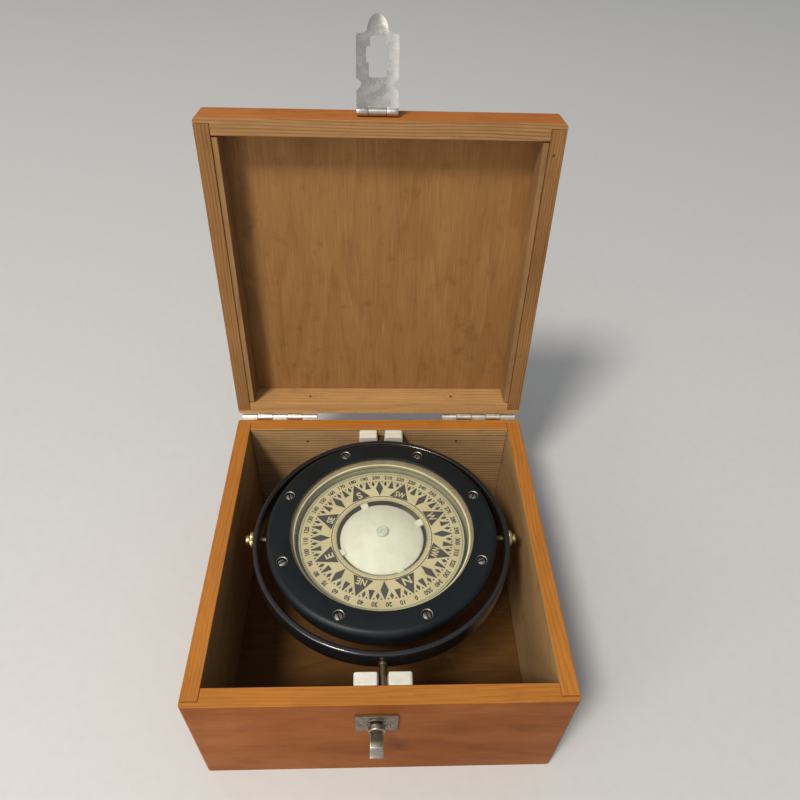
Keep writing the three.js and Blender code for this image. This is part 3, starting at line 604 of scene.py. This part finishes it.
def add_nails():
    """Round nail heads, driven nearly flush: two in each back board's inside and one in the lid's rim."""
    head = lathe(bmesh.new(), [(0, -1), (0.8, -1), (0.95, 0), (0.85, 0.1), (0, 0.16)], 20, closed=False)
    back_low, back_high = box_mm("case_back_board")
    below_rim = 12
    bm = bmesh.new()
    for x in (-51.3, 54.8):
        stamp(bm, head, move(x, back_low.y, back_high.z - below_rim) @ turn(90, "X"))
    piece("case_nails", bm, [NAIL_STEEL], "case")
    lid_vertices = frame["nodes"]["lid_back_board"].data.vertices
    corners = [LID.inverted() @ vertex.co / MM for vertex in lid_vertices]
    rim = min(corner.z for corner in corners)
    wall = min(corner.y for corner in corners)
    above_rim = 8
    bm = bmesh.new()
    for x in (-49.6, 51):
        stamp(bm, head, move(x, wall, rim + above_rim) @ turn(90, "X"))
    stamp(bm, head, move(94.3, -83.2, rim) @ turn(180, "X"))
    piece("lid_nails", bm, [NAIL_STEEL], "lid", LID)


# ---- hinges, hasp and turn button ----


def plain_metal(node, body, material, edge=0.22, place=Matrix(), name=None):
    """A CAD node's solid with soft edges."""
    bm = cad_copy(node, place)
    soften(piece(name or node + "_metal", bm, [material], body, place, [node]), edge)


def rod_piece(node, body, material, radius, place, dome=0.4):
    """A hinge pin along place's Z with domed ends, as long as its CAD node, which lies along X."""
    low, high = box_mm(node)
    half = (high.x - low.x) / 2
    end = [(radius, half - dome), (radius * 0.8, half - dome * 0.3), (0, half)]
    profile = [(0, -half)] + [(r, -z) for r, z in reversed(end[:2])] + end
    bm = lathe(bmesh.new(), profile, 24, closed=False)
    piece(node + "_steel", bm, [material], body, place, [node])


HINGE_PIN_R = 1.1
HINGE_HOLES = ((-18, 8), (0, 12), (18, 8))  # from the hinge's middle: across, and up or down the leaf


def add_hinges():
    head = screw_head(1.85, 1.5, 0.3, 0.7)
    hinge = joint_place("lid_hinge")
    leaf_foot = box_mm("case_back_board")[1].y + SEAT_GAP
    for body, up, place in (("case", -1, Matrix()), ("lid", 1, LID)):
        spots = []
        for side in ("left", "right"):
            plain_metal(f"hinge_{body}_leaf_{side}", body, HINGE_STEEL, place=place)
            low, high = box_mm(f"hinge_pin_{side}")
            middle = (low.x + high.x) / 2
            for x, z in HINGE_HOLES:
                spots.append(move(middle + x, leaf_foot, hinge.z + up * z) @ turn(-90, "X"))
        screws(f"hinge_screws_{body}", body, head, spots, SCREW_METAL, 11, place)
    for side in ("left", "right"):
        node = f"hinge_pin_{side}"
        low, high = box_mm(node)
        place = move(*(low + high) / 2) @ turn(90, "Y")
        rod_piece(node, "case", HINGE_STEEL, HINGE_PIN_R, place)


# The hasp's strap, in its own frame: across, then down from its hinge when it is shut.
STRAP_T = 1.2
STRAP_HALF_W = 11.15
STRAP_START = 1.5  # inside the barrels' walls
STRAP_WINDOWS = (  # half width, from, to, corner
    (4.6, 16.5, 25, 1.2),
    (6, 23.2, 31.1, 1.6),
    (3.9, 29, 35.6, 1.2),
)
STRAP_MIDDLE_HALF_W = 9.8 / 2 + 0.15  # the notch for the leaf's barrel
BARREL_R = 2.2
BARREL_BORE_R = 1.1
HASP_PIN_R = 0.9
TONGUE_START = 35.6
TONGUE_HALF_W = 5.8
TONGUE_RISE = 0.65
CROWN_RISE = 0.35  # the strap's middle stands out this much,
CROWN_DROP = 0.7  # and falls off by this much towards CROWN_REACH
CROWN_REACH = 11
WELD = 0.01  # points nearer than this become one


def strap_outline():
    """(x, distance from the hinge) points: down the right side to the tip, then up the left side."""
    half = STRAP_HALF_W
    sides = [(half, STRAP_START), (half, 9.9), (half - 2.1, 12.2), (half - 2.6, 13.4), (half - 2.1, 14.6),
             (half, 16.2)]
    shoulder = [(half, 35.4), (half - 0.5, 36.4), (8.2, 36.9), (6.4, 37.4), (5.55, 38.4)]
    tongue = [(5.2, 40.2), (4.75, 41.7), (4.0, 43.2), (2.9, 44.5), (1.5, 45.4), (0, 45.7)]
    right = sides + shoulder + tongue
    return right + [(-x, s) for x, s in reversed(right[:-1])]


def crown(x, s):
    """How far the bent strap stands out at a point: a low arch across it, and a higher one on its tongue."""
    along = min(max((s - TONGUE_START) / 5, 0), 1)
    across = max(1 - (x / TONGUE_HALF_W) ** 2, 0)
    tongue = TONGUE_RISE * across * along * along * (3 - 2 * along)
    return tongue + CROWN_RISE - CROWN_DROP * (x / CROWN_REACH) ** 2


def add_hasp():
    plain_metal("hasp_leaf", "lid", ZINC, place=HASP)
    head = screw_head(1.85, 1.55, 0.35, 0.7)
    leaf_foot, screw_up = 2.3, 7.4  # from the hasp's axis
    spots = [move(x, leaf_foot, screw_up) @ turn(90, "X") for x in (-6.5, 6.5)]
    screws("hasp_leaf_screws", "lid", head, spots, SCREW_METAL, 5, HASP)
    rod_piece("hasp_pin", "lid", ZINC, HASP_PIN_R, HASP @ turn(90, "Y"), 0.3)
    add_strap()


def slice_up(bm, normal, places):
    """Cuts the mesh's faces along planes, so that it can bend."""
    for place in places:
        parts = bm.verts[:] + bm.edges[:] + bm.faces[:]
        bmesh.ops.bisect_plane(bm, geom=parts, dist=WELD * MM, plane_co=normal * place * MM, plane_no=normal)


def add_strap():
    """Drawn shut, with X across and -Y down the strap; STRAP stands it up."""
    outline = [(x, -s) for x, s in strap_outline()]
    strap = prism(bmesh.new(), outline, -STRAP_T / 2, STRAP_T / 2)
    for half, start, end, corner in STRAP_WINDOWS:
        points = [(x, y, corner) for x, y in ((-half, -end), (half, -end), (half, -start), (-half, -start))]
        strap = difference(strap, prism(bmesh.new(), rounded(points), -5, 5))
    middle = STRAP_MIDDLE_HALF_W
    strap = difference(strap, slab((-middle, -2.7, -5), (middle, 5, 5)))
    bmesh.ops.triangulate(strap, faces=strap.faces)
    slice_up(strap, Vector((0, 1, 0)), range(-45, -30))
    slice_up(strap, Vector((1, 0, 0)), range(-10, 11))
    bmesh.ops.remove_doubles(strap, verts=strap.verts, dist=WELD * MM)
    bmesh.ops.dissolve_degenerate(strap, edges=strap.edges, dist=WELD * MM)
    for vertex in strap.verts:
        vertex.co.z += crown(vertex.co.x / MM, -vertex.co.y / MM) * MM
    for side in (-1, 1):
        inner, outer = side * middle, side * STRAP_HALF_W
        barrel = [(BARREL_BORE_R, inner, 0), (BARREL_R, inner, 0.25), (BARREL_R, outer, 0.25),
                  (BARREL_BORE_R, outer, 0)]
        lathe(strap, rounded(barrel, 3), 36, place=turn(90, "Y"))
    strap.transform(STRAP @ turn(90, "X"))
    made = piece("hasp_strap_zinc", strap, [STRAP_ZINC], "hasp_strap", replaces=["hasp_strap"],
                 sharp=30)
    soften(made, 0.22, angle=60)


def add_staple():
    plain_metal("staple_plate", "case", PLATE_ZINC, 0.2)
    low, high = box_mm("staple_plate")
    boss = joint_place("turn_button_pivot")
    out = move(boss.x, low.y, boss.z) @ turn(90, "X")
    bead = [(4.6, -0.3, 0), (5.9, -0.3, 0), (5.9, 0.0, 0), (5.5, 0.42, 0.12), (5.0, 0.42, 0.12), (4.6, 0, 0)]
    bm = lathe(bmesh.new(), rounded(bead, 3), 64)
    piece("staple_bead", bm, [PLATE_ZINC], "case", out)
    head = screw_head(1.55, 1.35, 0.28, 0.6, 0.18)
    holes = ((-7.3, 0.6), (7.3, -2.8))
    spots = [move(boss.x + x, high.y, boss.z + z) @ turn(90, "X") for x, z in holes]
    screws("staple_screws", "case", head, spots, SCREW_METAL, 3)


def smooth_path(points, steps):
    """A Catmull-Rom curve through the points."""
    ends = [2 * points[0] - points[1], *points, 2 * points[-1] - points[-2]]
    made = []
    for a, b, c, d in zip(ends, ends[1:], ends[2:], ends[3:]):
        for k in range(steps):
            t = k / steps
            made.append(0.5 * (2 * b + (c - a) * t + (2 * a - 5 * b + 4 * c - d) * t**2
                               + (3 * b - a - 3 * c + d) * t**3))
    return made + [points[-1]]


LEVER_BENDS = (  # out, up
    (3.8, -3.9), (6.4, -3.8), (8.8, -3.7), (11, -4.4), (12.2, -5.7), (13, -7.3), (14.6, -8.5),
)


def add_turn_button():
    """Drawn with Z out of the box's front, from the plate's back face, and Y up."""
    boss = joint_place("turn_button_pivot")
    plate_back = box_mm("staple_plate")[1].y
    out = move(boss.x, plate_back, boss.z) @ turn(90, "X")
    profile = [(0, 0.1, 0), (1.7, 0.1, 0), (1.7, 1.5, 0), (3.3, 1.5, 0.2), (3.3, 2.4, 0), (4.4, 2.4, 0.5),
               (4.4, 5.4, 0.6), (3.6, 5.4, 0.1), (3.2, 5.15, 0.1), (0, 5.15, 0)]
    bm = turned(profile, 5, 64)
    add_lever(bm)
    # The boss's front face and the neck behind its flange get the darker zinc, as painted shade.
    for face in bm.faces:
        middle = face.calc_center_median() / MM
        on_front = middle.z > 5.1 and middle.xy.length < 3.7
        on_neck = 1.4 < middle.z < 2.5
        face.material_index = int(on_front or on_neck)
    metals = [BUTTON_ZINC, SHADED_ZINC]
    piece("turn_button_zinc", bm, metals, "turn_button", out, ["turn_button"], 45)


def add_lever(bm):
    """A strip that bends down along LEVER_BENDS, a little wider and thinner towards its end."""
    path = smooth_path([Vector(point) for point in LEVER_BENDS], 7)
    last = len(path) - 1
    rings = []
    for i, point in enumerate(path):
        along = (path[min(i + 1, last)] - path[max(i - 1, 0)]).normalized()
        side = Vector((-along.y, along.x))
        share = i / last
        half_w = 3.45 + 0.3 * max(share - 0.6, 0)
        half_t = 0.74 - 0.14 * share
        corners = [(-half_w, -half_t, 0.4), (half_w, -half_t, 0.4), (half_w, half_t, 0.4),
                   (-half_w, half_t, 0.4)]
        spots = [(x, point + side * t) for x, t in rounded(corners, 3)]
        rings.append([bm.verts.new(mm(x, spot.y, spot.x)) for x, spot in spots])
    for low_ring, high_ring in zip(rings, rings[1:]):
        for i in range(len(low_ring)):
            j = (i + 1) % len(low_ring)
            bm.faces.new([low_ring[i], low_ring[j], high_ring[j], high_ring[i]])
    bm.faces.new(rings[0])
    bm.faces.new(rings[-1])


# ---- gimbal ----


def add_pivot_blocks():
    head = screw_head(1.9, 0.9, 0.5, 0.45)
    for name, side in (("front", -1), ("back", 1)):
        node = f"pivot_block_{name}"
        low, high = box_mm(node)
        centre = (low + high) / 2
        place = move(*centre)
        made = piece(node + "_nylon", cad_copy(node, place), [NYLON], "case", place, [node])
        soften(made, 0.7, 4)
        inward = high.y if side < 0 else low.y
        spots = [move(centre.x + x, inward, low.z + 4.4) @ turn(90 * side, "X") for x in (-8.7, 8.7)]
        screws(f"block_screws_{name}", "case", head, spots, BRIGHT_SCREW, 21 + side)


RING_OUTER_R = 77.6
RING_INNER_R = 74
RING_HALF_H = 6.5
PIN_R, COLLAR_R = 2, 2.6
SCREW_TIP, SCREW_END = 66.8, 82.8  # of the pivot screws, from the bowl's axis
NUT_LOW, NUT_HIGH, NUT_R = 77.85, 79.85, 4.85


def add_gimbal_ring():
    ring = lathe(bmesh.new(), ring_of(RING_INNER_R, RING_OUTER_R, -RING_HALF_H, RING_HALF_H, 1.3, 5), 192)
    piece("gimbal_ring_black", ring, [GLOSS_BLACK], "gimbal_ring", GIMBAL, ["gimbal_ring"])
    for name, side in (("front", -1), ("back", 1)):
        node = f"gimbal_pin_{name}"
        low, high = box_mm(node)
        centre_y = GIMBAL.translation.y / MM
        reach = centre_y - low.y if side < 0 else high.y - centre_y
        profile = [(0, 73.8, 0), (1.6, 73.8, 0.2), (1.6, 77.8, 0), (COLLAR_R, 77.8, 0.2),
                   (COLLAR_R, 79.8, 0.4), (PIN_R, 79.8, 0), (PIN_R, reach, 0.5), (0, reach, 0)]
        place = GIMBAL @ turn(-90 * side, "X")
        bm = turned(profile, 3, 36)
        piece(node + "_brass", bm, [DULL_AND_SHADED_BRASS], "gimbal_ring", place, [node])
    for name, side in (("left", -1), ("right", 1)):
        add_pivot_screw(name, GIMBAL @ turn(90 * side, "Y"))


def add_pivot_screw(name, place):
    """The slotted screw that carries one side of the bowl, and its nut outside the ring."""
    profile = [(0, SCREW_TIP, 0), (1.9, SCREW_TIP + 2, 0.2), (1.9, 80.1, 0), (2.8, 80.4, 0.2),
               (2.8, SCREW_END - 0.2, 0.7), (0, SCREW_END, 0)]
    screw = turned(profile, 4, 40)
    screw = difference(screw, slab((-4, -0.4, SCREW_END - 1), (4, 0.4, SCREW_END + 1), turn(20, "Z")))
    # The shank inside the ring gets the dark brass as painted shade in the gap between ring and bezel.
    for face in screw.faces:
        face.material_index = 1 if face.calc_center_median().z / MM < 79 else 0
    node = f"pivot_screw_{name}"
    piece(node + "_brass", screw, [BRASS, DULL_AND_SHADED_BRASS], "gimbal_ring", place, [node])
    profile = [(2.1, NUT_LOW, 0), (NUT_R, NUT_LOW, 0.3), (NUT_R, NUT_HIGH, 0.5), (2.1, NUT_HIGH, 0)]
    nut = lathe(bmesh.new(), rounded(profile, 3), 48)
    knurl(nut, NUT_R - 0.25, 0.22, 24)
    node = f"pivot_nut_{name}"
    piece(node + "_brass", nut, [BRASS], "gimbal_ring", place, [node], 25)


def knurl(bm, from_radius, depth, count):
    """Presses shallow grooves into the outside of a turned piece."""
    for vertex in bm.verts:
        radius = math.hypot(vertex.co.x, vertex.co.y) / MM
        if radius > from_radius:
            angle = math.atan2(vertex.co.y, vertex.co.x)
            inward = depth * (0.5 + 0.5 * math.cos(angle * count))
            share = (radius - inward) / radius
            vertex.co.x *= share
            vertex.co.y *= share


# ---- bowl: heights are from the gimbal's axes ----


BEZEL_LOW, BEZEL_TOP = 7.3, 12.8
BEZEL_OUTER_R, BEZEL_LIP_R = 69.2, 55.1
BEZEL_SCREWS = 8
SCREW_CIRCLE_R = 62.2
SCREW_SEAT = 11
CUP_R, CUP_EDGE_R = 2.9, 3.45
WELL_R = 52.7
BOWL_BOTTOM = -46
FOOT_R = 36.5
FOOT_TOP = -10
BOWL_T = 3
WALL_R = 57  # outside the foot
RIM_R = 66.5
SEAT_R = 57.8  # the recess that holds the glass and its seat
GLASS_R = 57.5


def bezel_screw_place(index):
    return turn(360 / BEZEL_SCREWS * (index + 0.5), "Z") @ move(SCREW_CIRCLE_R, 0, 0)


def add_bezel():
    corners = [(SEAT_R, BEZEL_LOW, 0.2), (BEZEL_OUTER_R, BEZEL_LOW, 0.5), (BEZEL_OUTER_R, BEZEL_TOP, 3.4),
               (BEZEL_LIP_R, BEZEL_TOP, 0.5), (BEZEL_LIP_R, 11.6, 0.2), (SEAT_R, 11.6, 0)]
    ring = lathe(bmesh.new(), rounded(corners, 7), 192)
    places = [bezel_screw_place(index) for index in range(BEZEL_SCREWS)]
    cup = [(0, 5), (1.7, 5), (1.7, 10.6), (CUP_R, 10.6), (CUP_R, BEZEL_TOP - 0.35),
           (CUP_EDGE_R, BEZEL_TOP + 0.2), (CUP_EDGE_R, 15), (0, 15)]
    cups = bmesh.new()
    for place in places:
        lathe(cups, cup, 40, closed=False, place=place)
    ring = difference(ring, cups)
    for face in ring.faces:
        centre = face.calc_center_median() / MM
        from_screw = min((centre.xy - place.translation.xy / MM).length for place in places)
        on_cup_edge = CUP_R - 0.1 < from_screw < CUP_EDGE_R + 0.05 and 0.2 < face.normal.z < 0.95
        face.material_index = int(on_cup_edge)
    piece("bezel_ring_black", ring, [MATT_BLACK, CUP_EDGE], "bowl", GIMBAL, ["bezel_ring"])
    head = screw_head(2.25, 1.3, 0.45, 1.0, 0.2)
    shank = [(0, 2), (1.5, 2), (1.5, SCREW_SEAT + 0.1), (0, SCREW_SEAT + 0.1)]
    pick = random.Random(8)
    for number, place in enumerate(places, 1):
        bm = lathe(bmesh.new(), shank, 24, closed=False)
        stamp(bm, head, move(0, 0, SCREW_SEAT) @ turn(pick.uniform(0, 180), "Z"))
        node = f"bezel_screw_{number}"
        metals = [BEZEL_SCREW, SLOT_SHADE]
        piece(node + "_steel", bm, metals, "bowl", GIMBAL @ place, [node])


def bowl_curve(foot, wall, low):
    """(radius, height) points of the bowl's round side, from its flat bottom up to its wall."""
    steps = 14
    angles = [math.pi / 2 * i / steps for i in range(steps + 1)]
    return [(foot + (wall - foot) * math.sin(a), FOOT_TOP + (low - FOOT_TOP) * math.cos(a)) for a in angles]


def add_bowl_shell():
    outside = bowl_curve(FOOT_R, WALL_R, BOWL_BOTTOM)
    inside = bowl_curve(FOOT_R - BOWL_T, WELL_R, BOWL_BOTTOM + BOWL_T)
    rim = rounded([(WALL_R, FOOT_TOP, 0), (RIM_R, -4.5, 1.2), (RIM_R, 7.1, 0.4), (SEAT_R, 7.1, 0.1),
                   (SEAT_R, 5.7, 0.1), (WELL_R, 5.7, 0.2), (WELL_R, FOOT_TOP, 0)], 4, closed=False)
    # The inside skin gets the cream paint with painted shade.
    skins = (
        ([(0, BOWL_BOTTOM), *outside[:-1], *rim[:-1]], 0),
        ([rim[-2], rim[-1], *reversed(inside[:-1]), (0, BOWL_BOTTOM + BOWL_T)], 1),
    )
    bm = bmesh.new()
    for profile, material in skins:
        lathe(bm, profile, 160, closed=False, material=material)
    bmesh.ops.remove_doubles(bm, verts=bm.verts, dist=1e-6)
    boss = [(0, 56, 0), (5.6, 56, 0), (5.6, 68.9, 0.8), (2.2, 68.9, 0.2), (2.2, 65.6, 0), (0, 65.6, 0)]
    for side in (-1, 1):
        lathe(bm, rounded(boss, 4, closed=False), 40, closed=False, place=turn(90 * side, "Y"))
    piece("bowl_shell", bm, [BOWL_BLACK, CREAM_IN_SHADE], "bowl", GIMBAL, ["bowl"])


def turned_piece(name, node, profile, material, body="bowl", segments=128, closed=True, place=GIMBAL):
    bm = lathe(bmesh.new(), profile, segments, closed)
    piece(name, bm, [material], body, place, [node])


def add_bowl():
    add_bowl_shell()
    add_bezel()
    glass = rounded([(0, 9.4, 0), (GLASS_R, 9.4, 0.2), (GLASS_R, 11.4, 0.2), (0, 11.4, 0)], 3, closed=False)
    turned_piece("glass_pane", "glass", glass, GLASS, closed=False)
    gasket = ring_of(53.6, GLASS_R, 8.4, 9.2, 0.2)
    turned_piece("glass_gasket_ring", "glass_gasket", gasket, GASKET)
    add_seat_ring()
    plain_metal("lubber_mark", "bowl", RUBBER, 0.12, GIMBAL, "lubber_mark_black")
    cover = rounded([(3, -58.2, 0.3), (34.5, -58.2, 6.5), (34.5, -46.2, 0.3), (32.9, -46.2, 0.2),
                     (32.9, -56.6, 4.9), (3, -56.6, 0.3)], 8)
    turned_piece("bottom_cover_black", "bottom_cover", cover, BOWL_BLACK)
    ballast = ring_of(8, 27, -55.6, -50, 0.8)
    turned_piece("ballast_lead", "ballast_weight", ballast, LEAD)
    add_filler_plug()
    plain_metal("pivot_post", "bowl", BRASS, 0.1, GIMBAL)
    plain_metal("diaphragm", "bowl", DULL_AND_SHADED_BRASS, 0.1, GIMBAL)


def add_seat_ring():
    """Bright cream on top, and on its inside the darker olive of the bowl's wall: the cream paint with
    painted shade.
    """
    top = 8.2
    bm = lathe(bmesh.new(), ring_of(WELL_R, GLASS_R, 5.9, top, 0.3), 160)
    for face in bm.faces:
        centre = face.calc_center_median() / MM
        face.material_index = int(centre.z < top - 0.15 and centre.xy.length < WELL_R + 0.1)
    looks = [CREAM_PAINT, CREAM_IN_SHADE]
    piece("glass_seat_cream", bm, looks, "bowl", GIMBAL, ["glass_seat_ring"])


def add_filler_plug():
    place = GIMBAL @ turn(-132, "Z") @ move(0, 0, -17) @ turn(90, "Y")
    profile = [(0, 51.7, 0), (3.2, 51.7, 0.4), (3.2, 57.6, 0), (5, 57.6, 0.2), (5, 60, 0.8), (0, 60, 0)]
    plug = turned(profile, 4, 40)
    plug = difference(plug, slab((-6, -0.5, 59), (6, 0.5, 62)))
    piece("filler_plug_brass", plug, [BRASS], "bowl", place, ["filler_plug"])


# ---- card: heights are from the gimbal's axes ----


CARD_TOP = 3.4
CARD_R = 50.5
CARD_HOLE_R = 27.5
INK_LOW, INK_HIGH = CARD_TOP - 0.04, CARD_TOP + 0.05
CARD_LINES = ((30.25, 30.75), (27.75, 28.0), (49.15, 49.35))  # printed circles, from one radius to another
ROSE = (  # how many marks, how far the first is from north in their spacings, and (radius, half width) points
    (8, 0, ((30.9, 6.2), (43.6, 0))),
    (8, 0.5, ((31.1, 0), (37.2, 2.4), (43.6, 0))),
    (16, 0.5, ((37.4, 1.85), (43.5, 0.35))),
    (32, 0.5, ((38.8, 0), (41.0, 1.15), (43.4, 0))),
)
DOTS, DOT_R, DOT_CIRCLE_R = 64, 0.55, 42.7
NUMBERS, NUMBER_H, NUMBER_R = 36, 2.7, 46.3
TICKS, TICK_HALF_W = 180, 0.1
POINTS = (  # the letters of each compass point and how wide they are drawn
    ("N", 1.05), ("NE", 0.84), ("E", 1.05), ("SE", 0.84), ("S", 1.05), ("SW", 0.74), ("W", 0.8), ("NW", 0.66),
)
FLOAT_R, FLOAT_LOW, FLOAT_TOP, FLOAT_HOLE_R = 25.6, 0.8, 6.8, 2.3


def mark(bm, heading, points):
    """A mark on the card that is alike on both sides of a heading. points are (radius, half width)."""
    right = [(half, radius) for radius, half in points]
    left = [(-x, y) for x, y in reversed(right) if x > 0]
    prism(bm, right + left, INK_LOW, INK_HIGH, turn(-heading, "Z"))


def lettering(bm, text, height, heading, radius, low, high, material, bold, squeeze):
    """Text whose top faces outwards, its middle at a radius on a heading."""
    curve = bpy.data.curves.new("text", "FONT")
    curve.body = text
    curve.size = height / 0.7 * MM
    curve.align_x = "CENTER"
    curve.extrude = (high - low) / 2 * MM
    curve.offset = bold * MM
    curve.resolution_u = 3
    holder = bpy.data.objects.new("text", curve)
    bpy.context.scene.collection.objects.link(holder)
    bpy.context.view_layer.update()
    mesh = holder.evaluated_get(bpy.context.evaluated_depsgraph_get()).to_mesh()
    source = bmesh.new()
    source.from_mesh(mesh)
    lift = move(0, radius - height / 2, (low + high) / 2)
    stamp(bm, source, turn(-heading, "Z") @ lift @ Matrix.Diagonal((squeeze, 1, 1, 1)), material)
    source.free()
    bpy.data.objects.remove(holder)
    bpy.data.curves.remove(curve)


def add_card_print():
    bm = bmesh.new()
    for count, first, points in ROSE:
        for index in range(count):
            mark(bm, 360 / count * (index + first), points)
    dot = [(DOT_R * math.cos(a), DOT_R * math.sin(a)) for a in circle(10)]
    for index in range(DOTS):
        prism(bm, dot, INK_LOW, INK_HIGH, turn(-360 / DOTS * (index + 0.5), "Z") @ move(0, DOT_CIRCLE_R, 0))
    for index in range(NUMBERS):
        heading = 360 // NUMBERS * index
        lettering(bm, str(heading), NUMBER_H, heading, NUMBER_R, INK_LOW, INK_HIGH, 0, 0.15, 0.9)
    for inner, outer in CARD_LINES:
        lathe(bm, [(inner, INK_LOW), (outer, INK_LOW), (outer, INK_HIGH), (inner, INK_HIGH)], 160)
    for index in range(TICKS):
        end = 29.8 if index % 5 == 0 else 29.2
        mark(bm, 360 / TICKS * index, [(28.5, TICK_HALF_W), (end, TICK_HALF_W)])
    for index, (text, squeeze) in enumerate(POINTS):
        height, radius = (4.9, 34.3) if len(text) == 1 else (4.1, 33.9)
        heading = 360 / len(POINTS) * index
        lettering(bm, text, height, heading, radius, INK_LOW + 0.02, INK_HIGH + 0.04, 1, 0.14, squeeze)
    piece("card_print", bm, [INK, PAPER], "card", CARD, sharp=20)


def add_card():
    low = CARD_TOP - 0.7
    corners = [(CARD_HOLE_R, low, 0.15), (CARD_R, low, 0.2), (CARD_R, CARD_TOP, 0.2),
               (CARD_HOLE_R, CARD_TOP, 0.15)]
    disc = rounded(corners, 3)
    turned_piece("compass_card_paper", "compass_card", disc, PAPER, "card", 192, place=CARD)
    add_card_print()
    rim = ring_of(49.6, CARD_R, CARD_TOP - 0.1, CARD_TOP + 0.25, 0.1)
    piece("card_rim", lathe(bmesh.new(), rim, 192), [RIM_PAPER], "card", CARD)
    add_float()


def add_float():
    """The white dome on the card with its base below, the jewel's cap and the two magnets."""
    add_dome()
    base = ring_of(4.5, 23.6, -1.2, -0.4, 0.3)
    turned_piece("float_base_white", "float_base", base, FLOAT, "card", place=CARD)
    corners = [(0, 6.4, 0), (1.3, 4.6, 0), (2, 4.6, 0), (2, 6.9, 0), (3.6, 6.9, 0.15), (3.6, 9.1, 0.5),
               (2.75, 9.1, 0.1), (2.65, 8.6, 0.1), (2.1, 8.6, 0.1), (2, 9.1, 0.1), (0, 9.1, 0)]
    cap = turned(corners, 3, 56)
    cap = difference(cap, slab((-1.5, -0.35, 8.2), (1.5, 0.35, 10), turn(30, "Z")))
    piece("jewel_cap_white", cap, [JEWEL], "card", CARD, ["jewel_cap"])
    for node in ("magnet_left", "magnet_right"):
        made = piece(node + "_steel", cad_copy(node, CARD), [LEAD], "card", CARD, [node])
        soften(made, 0.2)


def add_dome():
    """A shell with an open middle, on four feet that reach under the card."""
    edge_r = FLOAT_R - 0.5
    steps = 16
    outer = []
    for i in range(steps + 1):
        r = edge_r + (FLOAT_HOLE_R - edge_r) * i / steps
        outer.append((r, FLOAT_LOW + (FLOAT_TOP - FLOAT_LOW) * (1 - (r / FLOAT_R) ** 2) + 0.05))
    edge = [(edge_r, FLOAT_LOW - 0.95), (FLOAT_R - 0.12, FLOAT_LOW - 0.85), (FLOAT_R, FLOAT_LOW - 0.5),
            (FLOAT_R - 0.1, FLOAT_LOW)]
    inner = [(max(FLOAT_HOLE_R, r - 1), z - 1) for r, z in reversed(outer)]
    bm = lathe(bmesh.new(), edge + outer + inner[:-1], 144)
    foot = rounded([(-2.2, 24.2, 0.4), (2.2, 24.2, 0.4), (2.2, 29.6, 0.6), (-2.2, 29.6, 0.6)], 3)
    for angle in (0, 90, 180, 270):
        prism(bm, foot, FLOAT_LOW - 0.2, CARD_TOP - 0.9, turn(angle, "Z"))
    made = piece("float_dome_white", bm, [FLOAT], "card", CARD, ["float_dome"], 35)
    soften(made, 0.2, 2, 60)


# ---- stage: lights are in metres ----


FLOOR_REACH = 6  # metres from the middle
WARM_WHITE, SOFT_WHITE, LAMP_WHITE = (1, 0.95, 0.87), (1, 0.98, 0.95), (1, 0.93, 0.84)
SKY_WHITE = (0.93, 0.96, 1)
LIGHTS = (  # name, place, what it points at, how wide it is, power in watts, colour
    ("key", (-1.44, -1.7, 3.44), (0, 0, 0.08), 0.84, 118, WARM_WHITE),
    ("reflector", (-1, -2.4, 0.9), (0, 0.1, 0.25), 1, 3.5, SOFT_WHITE),
    ("low_left", (-0.42, -0.42, 0.36), (-0.08, -0.1, 0.05), 0.2, 0.8, LAMP_WHITE),
)
BRIGHT_SIDE = (-0.6, -0.45, 0.66)  # of the room around
CAMERA_LENS, CAMERA_SENSOR = 29.64, 36
CAMERA_PLACE = (-3.9, -234.7, 420)
CAMERA_TURN = (0.8195, -0.0277, -0.0273)  # radians


def add_stage():
    mesh = bpy.data.meshes.new("floor")
    corners = [(x * FLOOR_REACH, y * FLOOR_REACH, 0) for x, y in ((-1, -1), (1, -1), (1, 1), (-1, 1))]
    mesh.from_pydata(corners, [], [(0, 1, 2, 3)])
    mesh.materials.append(FLOOR)
    floor = bpy.data.objects.new("floor", mesh)
    bpy.context.scene.collection.objects.link(floor)


def add_light(name, place, target, size, power, colour):
    light = bpy.data.lights.new(name, "AREA")
    light.shape = "DISK"
    light.size = size
    light.energy = power
    light.color = colour
    holder = bpy.data.objects.new(name, light)
    bpy.context.scene.collection.objects.link(holder)
    holder.location = place
    holder.rotation_euler = (Vector(target) - Vector(place)).to_track_quat("-Z", "Y").to_euler()


def add_world():
    """A soft grey room, brighter towards the front left and above."""
    world = bpy.data.worlds.new("studio")
    world.use_nodes = True
    tree = world.node_tree
    place = tree.nodes.new("ShaderNodeTexCoord")
    tilt = tree.nodes.new("ShaderNodeVectorMath")
    tilt.operation = "DOT_PRODUCT"
    tilt.inputs[1].default_value = Vector(BRIGHT_SIDE).normalized()
    tree.links.new(place.outputs["Generated"], tilt.inputs[0])
    ramp = tree.nodes.new("ShaderNodeMapRange")
    for key, value in {"From Min": -0.4, "From Max": 1.0, "To Min": 0.10, "To Max": 0.62}.items():
        ramp.inputs[key].default_value = value
    tree.links.new(tilt.outputs["Value"], ramp.inputs["Value"])
    background = tree.nodes["Background"]
    background.inputs["Color"].default_value = (*SKY_WHITE, 1)
    tree.links.new(ramp.outputs[0], background.inputs["Strength"])
    bpy.context.scene.world = world


def add_lights():
    add_world()
    for light in LIGHTS:
        add_light(*light)


def add_camera():
    camera = bpy.data.cameras.new("camera")
    camera.lens = CAMERA_LENS
    camera.sensor_width = CAMERA_SENSOR
    holder = bpy.data.objects.new("camera", camera)
    bpy.context.scene.collection.objects.link(holder)
    holder.location = mm(*CAMERA_PLACE)
    holder.rotation_euler = CAMERA_TURN
    bpy.context.scene.camera = holder


bpy.context.scene.view_settings.view_transform = "Standard"
add_case()
add_lid_wood()
add_nails()
add_hinges()
add_hasp()
add_staple()
add_turn_button()
add_pivot_blocks()
add_gimbal_ring()
add_bowl()
add_card()
add_stage()
add_lights()
add_camera()
